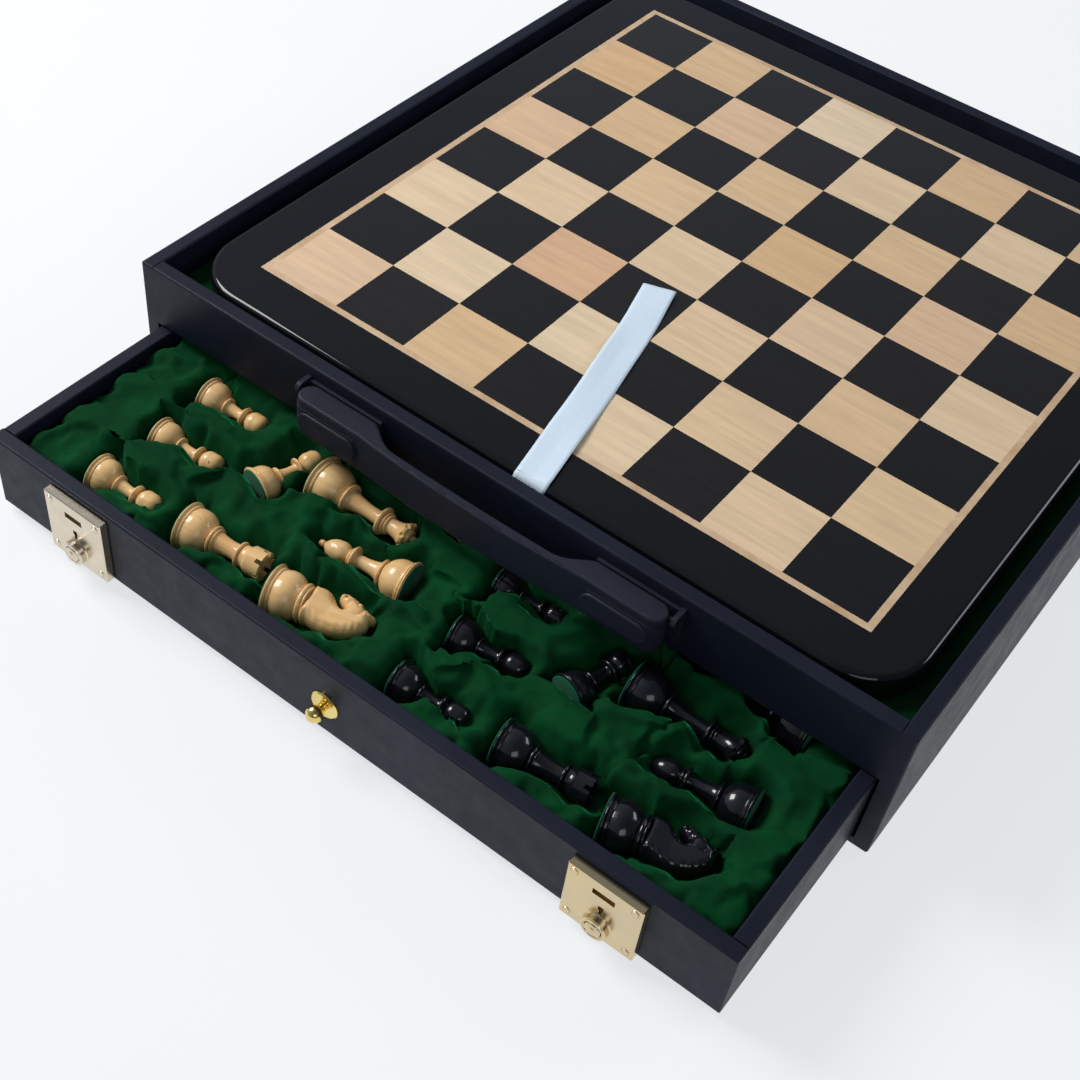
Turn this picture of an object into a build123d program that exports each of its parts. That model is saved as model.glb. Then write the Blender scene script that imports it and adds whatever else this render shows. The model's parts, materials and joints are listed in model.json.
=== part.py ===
"""A leatherette chess box: a tray for a lift-out board, and two shallow drawers for the pieces.

Millimetres, +Z up. The origin is the centre of the case's underside and the front faces -Y.
The front drawer stands as far open as in the picture, and the back drawer is closed.
"""
from math import acos, asin, atan2, cos, degrees, radians, sin
import os

from build123d import *

os.makedirs("parts", exist_ok=True)

# ---------------------------------------------------------------- driving dimensions

# Case
case_height = 112.0
wall = 10.5
case_bottom_thickness = 6.0
rail_height = 47.0
soft_edge = 1.5

# Board
square = 57.0
squares_per_side = 8
stringing_width = 4.8
border_width = 36.2
board_thickness = 19.0
tile_thickness = 4.0
board_corner_radius = 44.0
board_top_edge_radius = 4.5
board_bottom_chamfer = 2.0
board_below_rim = 3.0
board_front_gap = 5.0
board_side_gap = 10.5
board_back_gap = 16.0
baize_thickness = 1.0

# Tray
deck_thickness = 5.0
deck_velvet_thickness = 1.2
side_ledge_width = 12.0
end_ledge_width = 20.0
partition_thickness = 6.0

# Drawers
drawer_open_in_picture = 143.3
drawer_floor_thickness = 4.0
drawer_floor_rise = 4.6
drawer_groove = 4.0
peg_diameter = 6.0
peg_length = 20.0
peg_from_centre = 150.0
bed_below_drawer_top = 11.0
bed_rolled_edge = 0.8
bed_back_margin = 14.6

# Clearances
drawer_side_clearance = 2.0
drawer_top_clearance = 1.0
drawer_bottom_clearance = 0.4
kicker_clearance = 0.6
stop_clearance = 0.4
cloth_clearance = 0.3
bed_clearance = 0.3
pocket_side_clearance = 1.1
running_clearance = 0.05

# Knob
rose_diameter = 20.0
rose_thickness = 1.8
knob_stem_diameter = 5.0
knob_ball_diameter = 11.0
knob_ball_reach = 9.0
knob_stud_diameter = 3.5
knob_stud_length = 8.0
knob_height = 33.0

# Latches
latch_from_centre = 200.0
latch_width = 50.5
latch_height = 55.0
latch_thickness = 4.5
latch_bevel = 1.5
latch_foot = 8.0
hasp_slot_width = 15.0
hasp_slot_height = 3.6
hasp_slot_rise = 39.5
keyhole_rise = 27.5
keyhole_radius = 1.6
keyhole_leg = 3.6
button_rise = 12.8
button_radius = 5.4
button_reach = 5.0
button_stem_radius = 3.0
button_dome_steps = (1.6, 0.8)
button_travel = 2.5
collar_radius = 8.0
collar_reach = 1.3
rivet_spread = 19.5
rivet_foot_rise = 4.6
rivet_head_rise = 46.0
rivet_head_radius = 2.0
rivet_head_reach = 0.8
rivet_head_taper = 35.0
rivet_shank_radius = 1.2
rivet_length = 9.0
housing_width = 30.0
housing_height = 40.0
housing_depth = 8.5
housing_wall = 1.0
catch_width = 20.0
catch_thickness = 1.4
catch_height = 12.0
catch_lip = 6.4
spring_ledge_rise = 1.5
latch_spring_radius = 2.4

# Carrying handle
handle_block_inner = 84.0
handle_block_outer = 138.0
handle_bottom = 74.0
handle_top = 104.0
handle_back_gap = 4.0
handle_block_depth = 16.4
grip_bow = 3.6
grip_thickness = 7.5
grip_scoop_length = 26.0
grip_inner_bow = 0.8
handle_edge = 1.8
pad_length = 50.0
pad_height = 17.0
pad_reach = 0.8
pivot_from_case = 8.5
pivot_below_top = 4.0
pivot_pin_radius = 1.5
pin_grip = 12.0
bracket_thickness = 2.5
bracket_overlap = 5.5
bracket_ear_thickness = 3.2
bracket_ear_radius = 4.2
bracket_inner_overlap = 2.0
bracket_bottom_setback = 1.5
bracket_top_setback = 1.5
bracket_screw_radius = 1.75
bracket_screw_head_radius = 3.4
bracket_screw_head_height = 1.0
bracket_screw_length = 11.0
bracket_screw_inset = 14.0
bracket_screw_drop = 3.0

# Ribbon
ribbon_width = 23.5
ribbon_thickness = 0.5
ribbon_start_x = 18.4
ribbon_end_x = -22.8
ribbon_end_y = -73.3
ribbon_tab = 24.0

# Chess pieces: height and base radius
king_height, king_radius = 90.0, 18.5
queen_height, queen_radius = 79.0, 17.5
bishop_height, bishop_radius = 67.0, 15.5
knight_height, knight_radius = 67.0, 16.5
rook_height, rook_radius = 60.0, 16.0
pawn_height, pawn_radius = 50.0, 14.0
felt_thickness = 0.8
plinth_share = 0.16
step_share = 0.1
bell_share = 0.93
notch_width = 2.6
crown_notch = 2.6
cross_thickness = 3.0
cross_width = 9.0
knight_thickness = 14.0
knight_bevel = 1.5
mitre_cut_out = 5.4
mitre_cut_drop = 10.6
mitre_cut_slope = 35.0
mitre_cut_length = 9.0
mitre_cut_width = 1.4
piece_axis_below_drawer_top = 18.9
bank_pitch = 246.0
king_depth = 160.0

# ---------------------------------------------------------------- derived places

board_top = case_height - board_below_rim
board_bottom = board_top - board_thickness
field_half = square * squares_per_side / 2
stringing_half = field_half + stringing_width
board_half = stringing_half + border_width

inner_half_width = board_half + board_side_gap
inner_half_depth = board_half + (board_front_gap + board_back_gap) / 2
half_width = inner_half_width + wall
half_depth = inner_half_depth + wall
rail_bottom = case_height - rail_height
board_y = -inner_half_depth + board_front_gap + board_half
tile_bottom = board_top - tile_thickness
baize_bottom = board_bottom - baize_thickness
board_front = board_y - board_half
velvet_top = baize_bottom - cloth_clearance
deck_top = velvet_top - deck_velvet_thickness
deck_bottom = deck_top - deck_thickness

drawer_half_width = inner_half_width - drawer_side_clearance
drawer_top = rail_bottom - drawer_top_clearance
drawer_bottom = case_bottom_thickness + drawer_bottom_clearance
drawer_floor_bottom = drawer_bottom + drawer_floor_rise
drawer_floor_top = drawer_floor_bottom + drawer_floor_thickness
bed_bottom = drawer_floor_top + bed_clearance
bed_top = drawer_top - bed_below_drawer_top
drawer_depth = king_depth + king_radius + pocket_side_clearance + bed_back_margin + bed_clearance + wall
piece_axis = drawer_top - piece_axis_below_drawer_top
partition_face = half_depth - drawer_depth - stop_clearance
kicker_bottom = drawer_top + kicker_clearance
peg_y = drawer_depth - wall / 2
peg_top = drawer_top - wall / 2 + peg_length / 2
end_ledge_bottom = drawer_top + 3 * drawer_top_clearance

pivot_y = -half_depth - pivot_from_case
pivot_z = handle_top - pivot_below_top
handle_back = -half_depth - handle_back_gap
handle_face = handle_back - handle_block_depth
handle_middle = (handle_back + handle_face) / 2
round_end = handle_block_depth / 2
grip_back = handle_face - grip_bow + grip_thickness
bracket_outer = handle_block_outer + bracket_overlap
bracket_inner = handle_block_inner - bracket_inner_overlap
bracket_bottom = handle_bottom + bracket_bottom_setback
bracket_top = handle_top - bracket_top_setback
ear_inner = bracket_outer - bracket_ear_thickness
bracket_screw_z = (bracket_bottom + bracket_top) / 2 - bracket_screw_drop
bracket_screw_places = [
    (direction * x, bracket_screw_z)
    for direction in (-1, 1)
    for x in (handle_block_inner + bracket_screw_inset, handle_block_outer - bracket_screw_inset)
]


def middle(span):
    """The point halfway along a span."""
    return (span[0] + span[1]) / 2


def fill(x_span, y_span, z_span, mode=Mode.ADD):
    """Adds to the part being built, or cuts from it, a block that fills three spans."""
    spans = (x_span, y_span, z_span)
    with Locations(tuple(middle(span) for span in spans)):
        Box(*(high - low for low, high in spans), mode=mode)


# ---------------------------------------------------------------- case

for side, direction in (("left", -1), ("right", 1)):
    with BuildPart() as case_side_wall:
        fill(
            sorted((direction * inner_half_width, direction * half_width)),
            (-half_depth, half_depth),
            (0, case_height),
        )
        far_face = case_side_wall.faces().sort_by(Axis.X)[-1 if direction > 0 else 0]
        top_inner = case_side_wall.edges().filter_by(Axis.Y).group_by(Axis.Z)[-1]
        end_tops = case_side_wall.edges().filter_by(Axis.X).group_by(Axis.Z)[-1]
        fillet(ShapeList({*far_face.edges(), *top_inner, *end_tops}), radius=soft_edge)
    case_side_wall.part.label = f"case_{side}_wall"
    export_step(case_side_wall.part, f"parts/case_{side}_wall.step")

for end, direction in (("front", -1), ("back", 1)):
    with BuildPart() as case_rail:
        fill(
            (-inner_half_width, inner_half_width),
            sorted((direction * inner_half_depth, direction * half_depth)),
            (rail_bottom, case_height),
        )
        long_edges = case_rail.edges().filter_by(Axis.X)
        outer_pair = long_edges.group_by(Axis.Y)[-1 if direction > 0 else 0]
        fillet(ShapeList({*outer_pair, *long_edges.group_by(Axis.Z)[-1]}), radius=soft_edge)
        if end == "front":
            with BuildSketch(Plane.XZ.offset(half_depth)):
                with Locations(*bracket_screw_places):
                    Circle(bracket_screw_radius)
            extrude(amount=bracket_thickness - bracket_screw_length, mode=Mode.SUBTRACT)
    case_rail.part.label = f"case_{end}_rail"
    export_step(case_rail.part, f"parts/case_{end}_rail.step")

with BuildPart() as case_bottom:
    fill(
        (-inner_half_width, inner_half_width),
        (-half_depth, half_depth),
        (0, case_bottom_thickness),
    )
case_bottom.part.label = "case_bottom"
export_step(case_bottom.part, "parts/case_bottom.step")

# Two cross panels stop the closed drawers and hold up the middle of the deck.
with BuildPart() as inner_partitions:
    for direction in (-1, 1):
        near, far = direction * partition_face, direction * (partition_face - partition_thickness)
        fill(
            (-inner_half_width, inner_half_width),
            sorted((near, far)),
            (case_bottom_thickness, deck_bottom),
        )
    for direction in (-1, 1):
        fill(
            sorted((direction * inner_half_width, direction * (inner_half_width - side_ledge_width))),
            (-partition_face, partition_face),
            (kicker_bottom, deck_bottom),
            mode=Mode.SUBTRACT,
        )
inner_partitions.part.label = "inner_partitions"
export_step(inner_partitions.part, "parts/inner_partitions.step")

# The side ledges carry the deck and keep an open drawer from tipping; the end ledges stop the pegs.
with BuildPart() as deck_ledges:
    for direction in (-1, 1):
        fill(
            sorted((direction * inner_half_width, direction * (inner_half_width - side_ledge_width))),
            (-inner_half_depth, inner_half_depth),
            (kicker_bottom, deck_bottom),
        )
        ledge_end = inner_half_width - side_ledge_width
        fill(
            (-ledge_end, ledge_end),
            sorted((direction * inner_half_depth, direction * (inner_half_depth - end_ledge_width))),
            (end_ledge_bottom, deck_bottom),
        )
deck_ledges.part.label = "deck_ledges"
export_step(deck_ledges.part, "parts/deck_ledges.step")

with BuildPart() as tray_deck:
    fill(
        (-inner_half_width, inner_half_width),
        (-inner_half_depth, inner_half_depth),
        (deck_bottom, deck_top),
    )
tray_deck.part.label = "tray_deck"
export_step(tray_deck.part, "parts/tray_deck.step")

with BuildPart() as tray_velvet:
    velvet_half_width = inner_half_width - cloth_clearance
    velvet_half_depth = inner_half_depth - cloth_clearance
    fill(
        (-velvet_half_width, velvet_half_width),
        (-velvet_half_depth, velvet_half_depth),
        (deck_top, velvet_top),
    )
tray_velvet.part.label = "tray_velvet"
export_step(tray_velvet.part, "parts/tray_velvet.step")

# ---------------------------------------------------------------- board

with BuildPart() as board_border:
    with BuildSketch(Plane((0, board_y, board_bottom))):
        RectangleRounded(2 * board_half, 2 * board_half, board_corner_radius)
    extrude(amount=board_thickness)
    fillet(board_border.faces().sort_by(Axis.Z)[-1].edges(), radius=board_top_edge_radius)
    chamfer(board_border.faces().sort_by(Axis.Z)[0].edges(), length=board_bottom_chamfer)
    with BuildSketch(Plane((0, board_y, board_bottom))):
        Rectangle(2 * stringing_half, 2 * stringing_half)
    extrude(amount=board_thickness, mode=Mode.SUBTRACT)
board_border.part.label = "board_border"
export_step(board_border.part, "parts/board_border.step")

with BuildPart() as board_panel:
    with BuildSketch(Plane((0, board_y, board_bottom))):
        Rectangle(2 * stringing_half, 2 * stringing_half)
    extrude(amount=tile_bottom - board_bottom)
board_panel.part.label = "board_panel"
export_step(board_panel.part, "parts/board_panel.step")

# Strips of pale wood frame the field, mitred and glued at its corners.
with BuildPart() as board_stringing:
    for turned in (0, 90, 180, 270):
        along = (cos(radians(turned)), sin(radians(turned)), 0)
        with BuildSketch(Plane((0, board_y, tile_bottom), x_dir=along)):
            with BuildLine():
                Polyline(
                    (-stringing_half, -stringing_half),
                    (stringing_half, -stringing_half),
                    (field_half, -field_half),
                    (-field_half, -field_half),
                    close=True,
                )
            make_face()
        extrude(amount=tile_thickness)
board_stringing.part.label = "board_stringing"
export_step(board_stringing.part, "parts/board_stringing.step")


def field_tiles(parity):
    """The centres of the light (0) or dark (1) squares, counted from the front left corner."""
    first = -field_half + square / 2
    return [
        (first + column * square, first + row * square)
        for column in range(squares_per_side)
        for row in range(squares_per_side)
        if (column + row) % 2 == parity
    ]


for shade, parity in (("light", 0), ("dark", 1)):
    with BuildPart() as board_squares:
        with Locations(*((x, board_y + y, tile_bottom) for x, y in field_tiles(parity))):
            Box(square, square, tile_thickness, align=(Align.CENTER, Align.CENTER, Align.MIN))
    board_squares.part.label = f"board_{shade}_squares"
    export_step(board_squares.part, f"parts/board_{shade}_squares.step")

with BuildPart() as board_baize:
    baize_half = stringing_half - baize_thickness
    fill(
        (-baize_half, baize_half),
        (board_y - baize_half, board_y + baize_half),
        (baize_bottom, board_bottom),
    )
board_baize.part.label = "board_baize"
export_step(board_baize.part, "parts/board_baize.step")

# The ribbon is glued under the board's front edge, turns up round it and lies slantwise on top.
ribbon_turn_end = board_front + board_top_edge_radius


def ribbon_edge(off):
    """Adds to the outline being drawn the ribbon's path, a distance off the board's own outline."""
    low_centre = (board_front + board_bottom_chamfer, board_bottom + board_bottom_chamfer)
    high_centre = (ribbon_turn_end, board_top - board_top_edge_radius)
    Line((board_front + ribbon_tab, board_bottom - off), (low_centre[0], board_bottom - off))
    CenterArc(low_centre, board_bottom_chamfer + off, 180, 90)
    Line((board_front - off, low_centre[1]), (board_front - off, high_centre[1]))
    CenterArc(high_centre, board_top_edge_radius + off, 90, 90)


with BuildPart() as lift_ribbon:
    ribbon_outside = cloth_clearance + ribbon_thickness
    with BuildSketch(Plane.YZ.offset(ribbon_start_x)):
        with BuildLine():
            ribbon_edge(cloth_clearance)
            ribbon_edge(ribbon_outside)
            Line(
                (board_front + ribbon_tab, board_bottom - cloth_clearance),
                (board_front + ribbon_tab, board_bottom - ribbon_outside),
            )
            Line(
                (ribbon_turn_end, board_top + cloth_clearance),
                (ribbon_turn_end, board_top + ribbon_outside),
            )
        make_face()
    extrude(amount=ribbon_width / 2, both=True)
    slant = atan2(ribbon_start_x - ribbon_end_x, ribbon_end_y - ribbon_turn_end)
    across_x = ribbon_width / 2 * cos(slant)
    across_y = ribbon_width / 2 * sin(slant)
    with BuildSketch(Plane.XY.offset(board_top + cloth_clearance)):
        with BuildLine():
            Polyline(
                (ribbon_start_x - ribbon_width / 2, ribbon_turn_end),
                (ribbon_start_x + ribbon_width / 2, ribbon_turn_end),
                (ribbon_end_x + across_x, ribbon_end_y + across_y),
                (ribbon_end_x - across_x, ribbon_end_y - across_y),
                close=True,
            )
        make_face()
    extrude(amount=ribbon_thickness)
lift_ribbon.part.label = "lift_ribbon"
export_step(lift_ribbon.part, "parts/lift_ribbon.step")

# ---------------------------------------------------------------- chess pieces, upright at the origin


def turn(*stations):
    """Revolves an outline given from the foot up as (radius, height)."""
    with BuildPart() as turned:
        with BuildSketch(Plane.XZ):
            with BuildLine():
                Polyline((0, stations[0][1]), *stations, (0, stations[-1][1]), close=True)
            make_face()
        revolve(axis=Axis.Z)
    return turned.part


def foot(radius, neck_radius, neck_height):
    """The weighted foot that every piece shares: a plinth, a step and a bell that swells to the neck."""
    plinth_top = felt_thickness + plinth_share * radius
    bell_foot = plinth_top + step_share * radius
    bell_radius = bell_share * radius
    bell = [
        (
            neck_radius + (bell_radius - neck_radius) * cos(radians(turned)),
            bell_foot + (neck_height - bell_foot) * sin(radians(turned)),
        )
        for turned in (0, 35, 65, 90)
    ]
    return [(radius, felt_thickness), (radius, plinth_top), *bell]


def bead(radius, neck, low, high):
    """A collar's two cones, from the neck at its foot to its rim and back."""
    return [(neck, low), (radius, (low + high) / 2), (neck, high)]


def ball(radius, centre, neck):
    """A round head on a neck, flattened a little on top."""
    first = -degrees(acos(neck / radius))
    return [
        (radius * cos(radians(turned)), centre + radius * sin(radians(turned)))
        for turned in (first, 0, 40, 75)
    ]


with BuildPart() as pawn:
    head = 7.4
    add(
        turn(
            *foot(pawn_radius, 5.0, 16.6),
            *bead(6.9, 5.0, 17.0, 19.6),
            (3.9, pawn_height - 19.0),
            *bead(7.0, 3.9, pawn_height - 18.0, pawn_height - 15.4),
            *ball(head, pawn_height - head, 4.4),
        )
    )

with BuildPart() as rook:
    notch_depth = 4.0
    cup_radius = 6.6
    add(
        turn(
            *foot(rook_radius, 7.4, 20.4),
            *bead(9.4, 7.4, 20.8, 23.8),
            (5.6, rook_height - 19.4),
            *bead(8.2, 5.6, rook_height - 19.0, rook_height - 16.4),
            (9.6, rook_height - 10.4),
            (9.6, rook_height),
        )
    )
    with BuildSketch(Plane.XY.offset(rook_height)):
        Circle(cup_radius)
    extrude(amount=-notch_depth - felt_thickness, mode=Mode.SUBTRACT)
    with BuildSketch(Plane.XY.offset(rook_height)):
        with PolarLocations(0, 3, angular_range=180, endpoint=False):
            Rectangle(notch_width, 2 * rook_radius)
    extrude(amount=-notch_depth, mode=Mode.SUBTRACT)

with BuildPart() as bishop:
    add(
        turn(
            *foot(bishop_radius, 6.2, 19.6),
            *bead(8.5, 6.2, 20.0, 23.0),
            (4.5, bishop_height - 27.6),
            *bead(7.8, 4.5, bishop_height - 27.0, bishop_height - 24.0),
            (6.4, bishop_height - 19.0),
            (7.1, bishop_height - 14.6),
            (5.4, bishop_height - 9.0),
            (1.8, bishop_height - 4.0),
            (2.2, bishop_height - 2.0),
            (0.8, bishop_height),
        )
    )
    with BuildSketch(Plane.XZ.offset(-bishop_radius)):
        with Locations(Location((mitre_cut_out, bishop_height - mitre_cut_drop), mitre_cut_slope)):
            Rectangle(mitre_cut_length, mitre_cut_width)
    extrude(amount=2 * bishop_radius, mode=Mode.SUBTRACT)

with BuildPart() as queen:
    crown_drop = 6.8
    crown_radius = 9.6
    add(
        turn(
            *foot(queen_radius, 7.4, 23.4),
            *bead(10.0, 7.4, 23.8, 27.0),
            (5.1, queen_height - 27.4),
            *bead(9.2, 5.1, queen_height - 27.0, queen_height - 24.0),
            *bead(7.2, 5.4, queen_height - 23.4, queen_height - 21.0),
            (crown_radius, queen_height - crown_drop),
            (5.6, queen_height - crown_drop + 1.6),
            (2.6, queen_height - 3.0),
            (1.2, queen_height),
        )
    )
    with BuildSketch(Plane.XY.offset(queen_height - crown_drop + 1.6)):
        with PolarLocations(crown_radius, 8):
            Rectangle(crown_notch, crown_notch, rotation=45)
    extrude(amount=-crown_notch, mode=Mode.SUBTRACT)

with BuildPart() as king:
    crown_drop = 9.4
    cross_foot = king_height - crown_drop - cross_thickness
    add(
        turn(
            *foot(king_radius, 8.0, 25.4),
            *bead(10.8, 8.0, 25.8, 29.2),
            (5.7, king_height - 33.4),
            *bead(9.8, 5.7, king_height - 33.0, king_height - 30.0),
            *bead(7.8, 5.8, king_height - 29.4, king_height - 27.0),
            (10.0, king_height - crown_drop - 3.2),
            (3.0, king_height - crown_drop),
        )
    )
    fill(
        (-cross_thickness / 2, cross_thickness / 2),
        (-cross_thickness / 2, cross_thickness / 2),
        (cross_foot, king_height),
    )
    fill(
        (-cross_thickness / 2, cross_thickness / 2),
        (-cross_width / 2, cross_width / 2),
        (king_height - 2 * cross_thickness, king_height - cross_thickness),
    )

# The neck rises from the foot in a broad arch, and the head folds back over it to the muzzle.
with BuildPart() as knight:
    neck_foot = 24.0
    with BuildSketch(Plane.XZ.offset(-knight_thickness / 2)):
        with BuildLine():
            ear = (-3.4, knight_height)
            poll = (-6.4, knight_height - 4.0)
            brow = (4.6, knight_height - 5.4)
            nose = (15.2, knight_height - 16.6)
            chin = (12.6, knight_height - 22.6)
            throat = (3.6, knight_height - 20.4)
            Polyline((-10.4, neck_foot), (9.8, neck_foot), (10.2, neck_foot + 6.0))
            ThreePointArc((10.2, neck_foot + 6.0), (5.0, knight_height - 29.0), throat)
            Polyline(throat, chin, nose, brow, ear, poll)
            ThreePointArc(poll, (-14.2, knight_height - 24.0), (-10.4, neck_foot))
        make_face()
    extrude(amount=knight_thickness)
    cheeks = knight.faces().filter_by(Axis.Y).sort_by(Axis.Y)
    chamfer(ShapeList([*cheeks[0].edges(), *cheeks[-1].edges()]), length=knight_bevel)
    add(turn(*foot(knight_radius, 9.6, 20.6), *bead(11.6, 9.6, 21.0, neck_foot + knight_bevel)))


def plain_piece(radius, neck_radius, head_radius, height):
    """A stored piece in the closed drawer, turned with the main steps of its outline only."""
    with BuildPart() as plain:
        add(
            turn(
                (radius, felt_thickness),
                (radius, felt_thickness + plinth_share * radius),
                (neck_radius, height / 2),
                (head_radius, height - head_radius),
                (head_radius / 2, height),
            )
        )
    return plain.part


pieces = {"king": king, "queen": queen, "bishop": bishop, "knight": knight, "rook": rook, "pawn": pawn}
radii = {
    "king": king_radius,
    "queen": queen_radius,
    "bishop": bishop_radius,
    "knight": knight_radius,
    "rook": rook_radius,
    "pawn": pawn_radius,
}
heights = {
    "king": king_height,
    "queen": queen_height,
    "bishop": bishop_height,
    "knight": knight_height,
    "rook": rook_height,
    "pawn": pawn_height,
}
head_radii = {"king": 10.8, "queen": 10.0, "bishop": 8.5, "knight": 15.6, "rook": 9.8, "pawn": 7.8}

# Where the pieces of one colour lie in a drawer: kind, x, distance behind the drawer's face, heading.
# The foot is at the place and the head points along the heading, in degrees from +X.
light_bank = (
    ("pawn", -221.0, 33.0, 4.0),
    ("pawn", -217.0, 81.0, 7.0),
    ("pawn", -221.0, 129.0, 3.0),
    ("pawn", -139.5, 88.0, 76.0),
    ("rook", -149.0, 38.0, 7.0),
    ("knight", -75.0, 35.0, 13.0),
    ("queen", -114.5, 122.0, 0.0),
    ("bishop", -13.0, 92.0, 188.0),
    ("king", -13.0, king_depth, 180.0),
)
royals = ("king", "queen")
stored_kinds = tuple(kind for kind in pieces if kind not in royals)


def lying(drawer, kind, x, depth, heading):
    """The plane of a lying piece's foot, its normal along the piece; a knight lies on its cheek."""
    along = (cos(radians(heading)), sin(radians(heading)), 0)
    across = (-sin(radians(heading)), cos(radians(heading)), 0)
    local = Plane(
        origin=(x, depth, piece_axis),
        x_dir=across if kind == "knight" else (0, 0, 1),
        z_dir=along,
    )
    return Plane(drawer * local.location)


def bank(shade):
    """The rows of one colour's pieces in a drawer: kind, x, depth and heading."""
    shift = 0.0 if shade == "light" else bank_pitch
    return [(kind, x + shift, depth, heading) for kind, x, depth, heading in light_bank]


def foot_planes(drawer, shade, kinds):
    """The foot planes of one colour's pieces of the named kinds in a drawer."""
    return [lying(drawer, *row) for row in bank(shade) if row[0] in kinds]


# ---------------------------------------------------------------- drawers

front_face_y = -half_depth - drawer_open_in_picture
front_drawer = Location((0, front_face_y, 0))
back_drawer = Location((0, half_depth, 0), (0, 0, 180))


def rivet_places(x):
    """The four rivets of the latch at x, as x and z."""
    return [
        (x + spread, latch_foot + rise)
        for spread in (-rivet_spread, rivet_spread)
        for rise in (rivet_foot_rise, rivet_head_rise)
    ]


def ring_groove(y_span):
    """Cuts the groove that the drawer's floor sits in."""
    reach = drawer_half_width - wall + drawer_groove
    fill((-reach, reach), y_span, (drawer_floor_bottom, drawer_floor_top), mode=Mode.SUBTRACT)


def drawer_front(with_latches):
    """The drawer's face board, its face at y = 0."""
    with BuildPart() as board:
        fill((-drawer_half_width, drawer_half_width), (0, wall), (drawer_bottom, drawer_top))
        rim = board.faces().sort_by(Axis.Y)[0].edges()
        inner_top = board.edges().filter_by(Axis.X).group_by(Axis.Z)[-1].sort_by(Axis.Y)[-1]
        fillet(ShapeList([*rim, inner_top]), radius=soft_edge)
        ring_groove((wall - drawer_groove, wall))
        with BuildSketch(Plane.XZ):
            with Locations((0, knob_height)):
                Circle(knob_stud_diameter / 2 + running_clearance)
        extrude(amount=-wall, mode=Mode.SUBTRACT)
        if with_latches:
            for place in (-latch_from_centre, latch_from_centre):
                pocket = housing_width / 2 + running_clearance
                foot_z = latch_foot + (latch_height - housing_height) / 2 - running_clearance
                fill(
                    (place - pocket, place + pocket),
                    (0, housing_depth + running_clearance),
                    (foot_z, foot_z + housing_height + 2 * running_clearance),
                    mode=Mode.SUBTRACT,
                )
                with BuildSketch(Plane.XZ):
                    with Locations(*rivet_places(place)):
                        Circle(rivet_shank_radius)
                extrude(amount=latch_thickness - rivet_length, mode=Mode.SUBTRACT)
    return board.part


def drawer_sides():
    """The two side boards between face and back."""
    with BuildPart() as boards:
        for direction in (-1, 1):
            fill(
                sorted((direction * (drawer_half_width - wall), direction * drawer_half_width)),
                (wall, drawer_depth - wall),
                (drawer_bottom, drawer_top),
            )
        fillet(boards.edges().filter_by(Axis.Y).group_by(Axis.Z)[-1], radius=soft_edge)
        ring_groove((wall, drawer_depth - wall))
    return boards.part


def drawer_back():
    """The back board, with the holes that the stop pegs stand in."""
    with BuildPart() as board:
        fill(
            (-drawer_half_width, drawer_half_width),
            (drawer_depth - wall, drawer_depth),
            (drawer_bottom, drawer_top),
        )
        fillet(board.edges().filter_by(Axis.X).group_by(Axis.Z)[-1], radius=soft_edge)
        ring_groove((drawer_depth - wall, drawer_depth - wall + drawer_groove))
        with BuildSketch(Plane.XY.offset(peg_top)):
            with Locations((-peg_from_centre, peg_y), (peg_from_centre, peg_y)):
                Circle(peg_diameter / 2)
        extrude(amount=-peg_length, mode=Mode.SUBTRACT)
    return board.part


def drawer_floor():
    """The thin floor panel, let into all four boards."""
    with BuildPart() as panel:
        reach = drawer_half_width - wall + drawer_groove
        depth_span = (wall - drawer_groove, drawer_depth - wall + drawer_groove)
        fill((-reach, reach), depth_span, (drawer_floor_bottom, drawer_floor_top))
    return panel.part


def drawer_pegs():
    """The two pegs that stop an opened drawer at the end ledge."""
    with BuildPart() as pegs:
        with BuildSketch(Plane.XY.offset(peg_top)):
            with Locations((-peg_from_centre, peg_y), (peg_from_centre, peg_y)):
                Circle(peg_diameter / 2)
        extrude(amount=-peg_length)
    return pegs.part


def velvet_bed(kinds):
    """The padded bed: a block with a tapering pocket for each piece and a rolled edge round each pocket."""
    with BuildPart() as bed:
        reach = drawer_half_width - wall - bed_clearance
        fill(
            (-reach, reach),
            (wall + bed_clearance, drawer_depth - wall - bed_clearance),
            (bed_bottom, bed_top),
        )
        for kind, x, depth, heading in bank("light") + bank("dark"):
            if kind not in kinds:
                continue
            foot_half = radii[kind] + pocket_side_clearance
            head_half = head_radii[kind] + pocket_side_clearance
            end = heights[kind] + pocket_side_clearance
            floor = piece_axis - radii[kind] - bed_clearance
            along = (cos(radians(heading)), sin(radians(heading)), 0)
            with BuildSketch(Plane(origin=(x, depth, bed_top), x_dir=along, z_dir=(0, 0, 1))):
                with BuildLine():
                    Polyline(
                        (-pocket_side_clearance, -foot_half),
                        (end, -head_half),
                        (end, head_half),
                        (-pocket_side_clearance, foot_half),
                        close=True,
                    )
                make_face()
            extrude(amount=floor - bed_top, mode=Mode.SUBTRACT)
        chamfer(bed.faces().sort_by(Axis.Z)[-1].edges(), length=bed_rolled_edge)
    return bed.part


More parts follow.
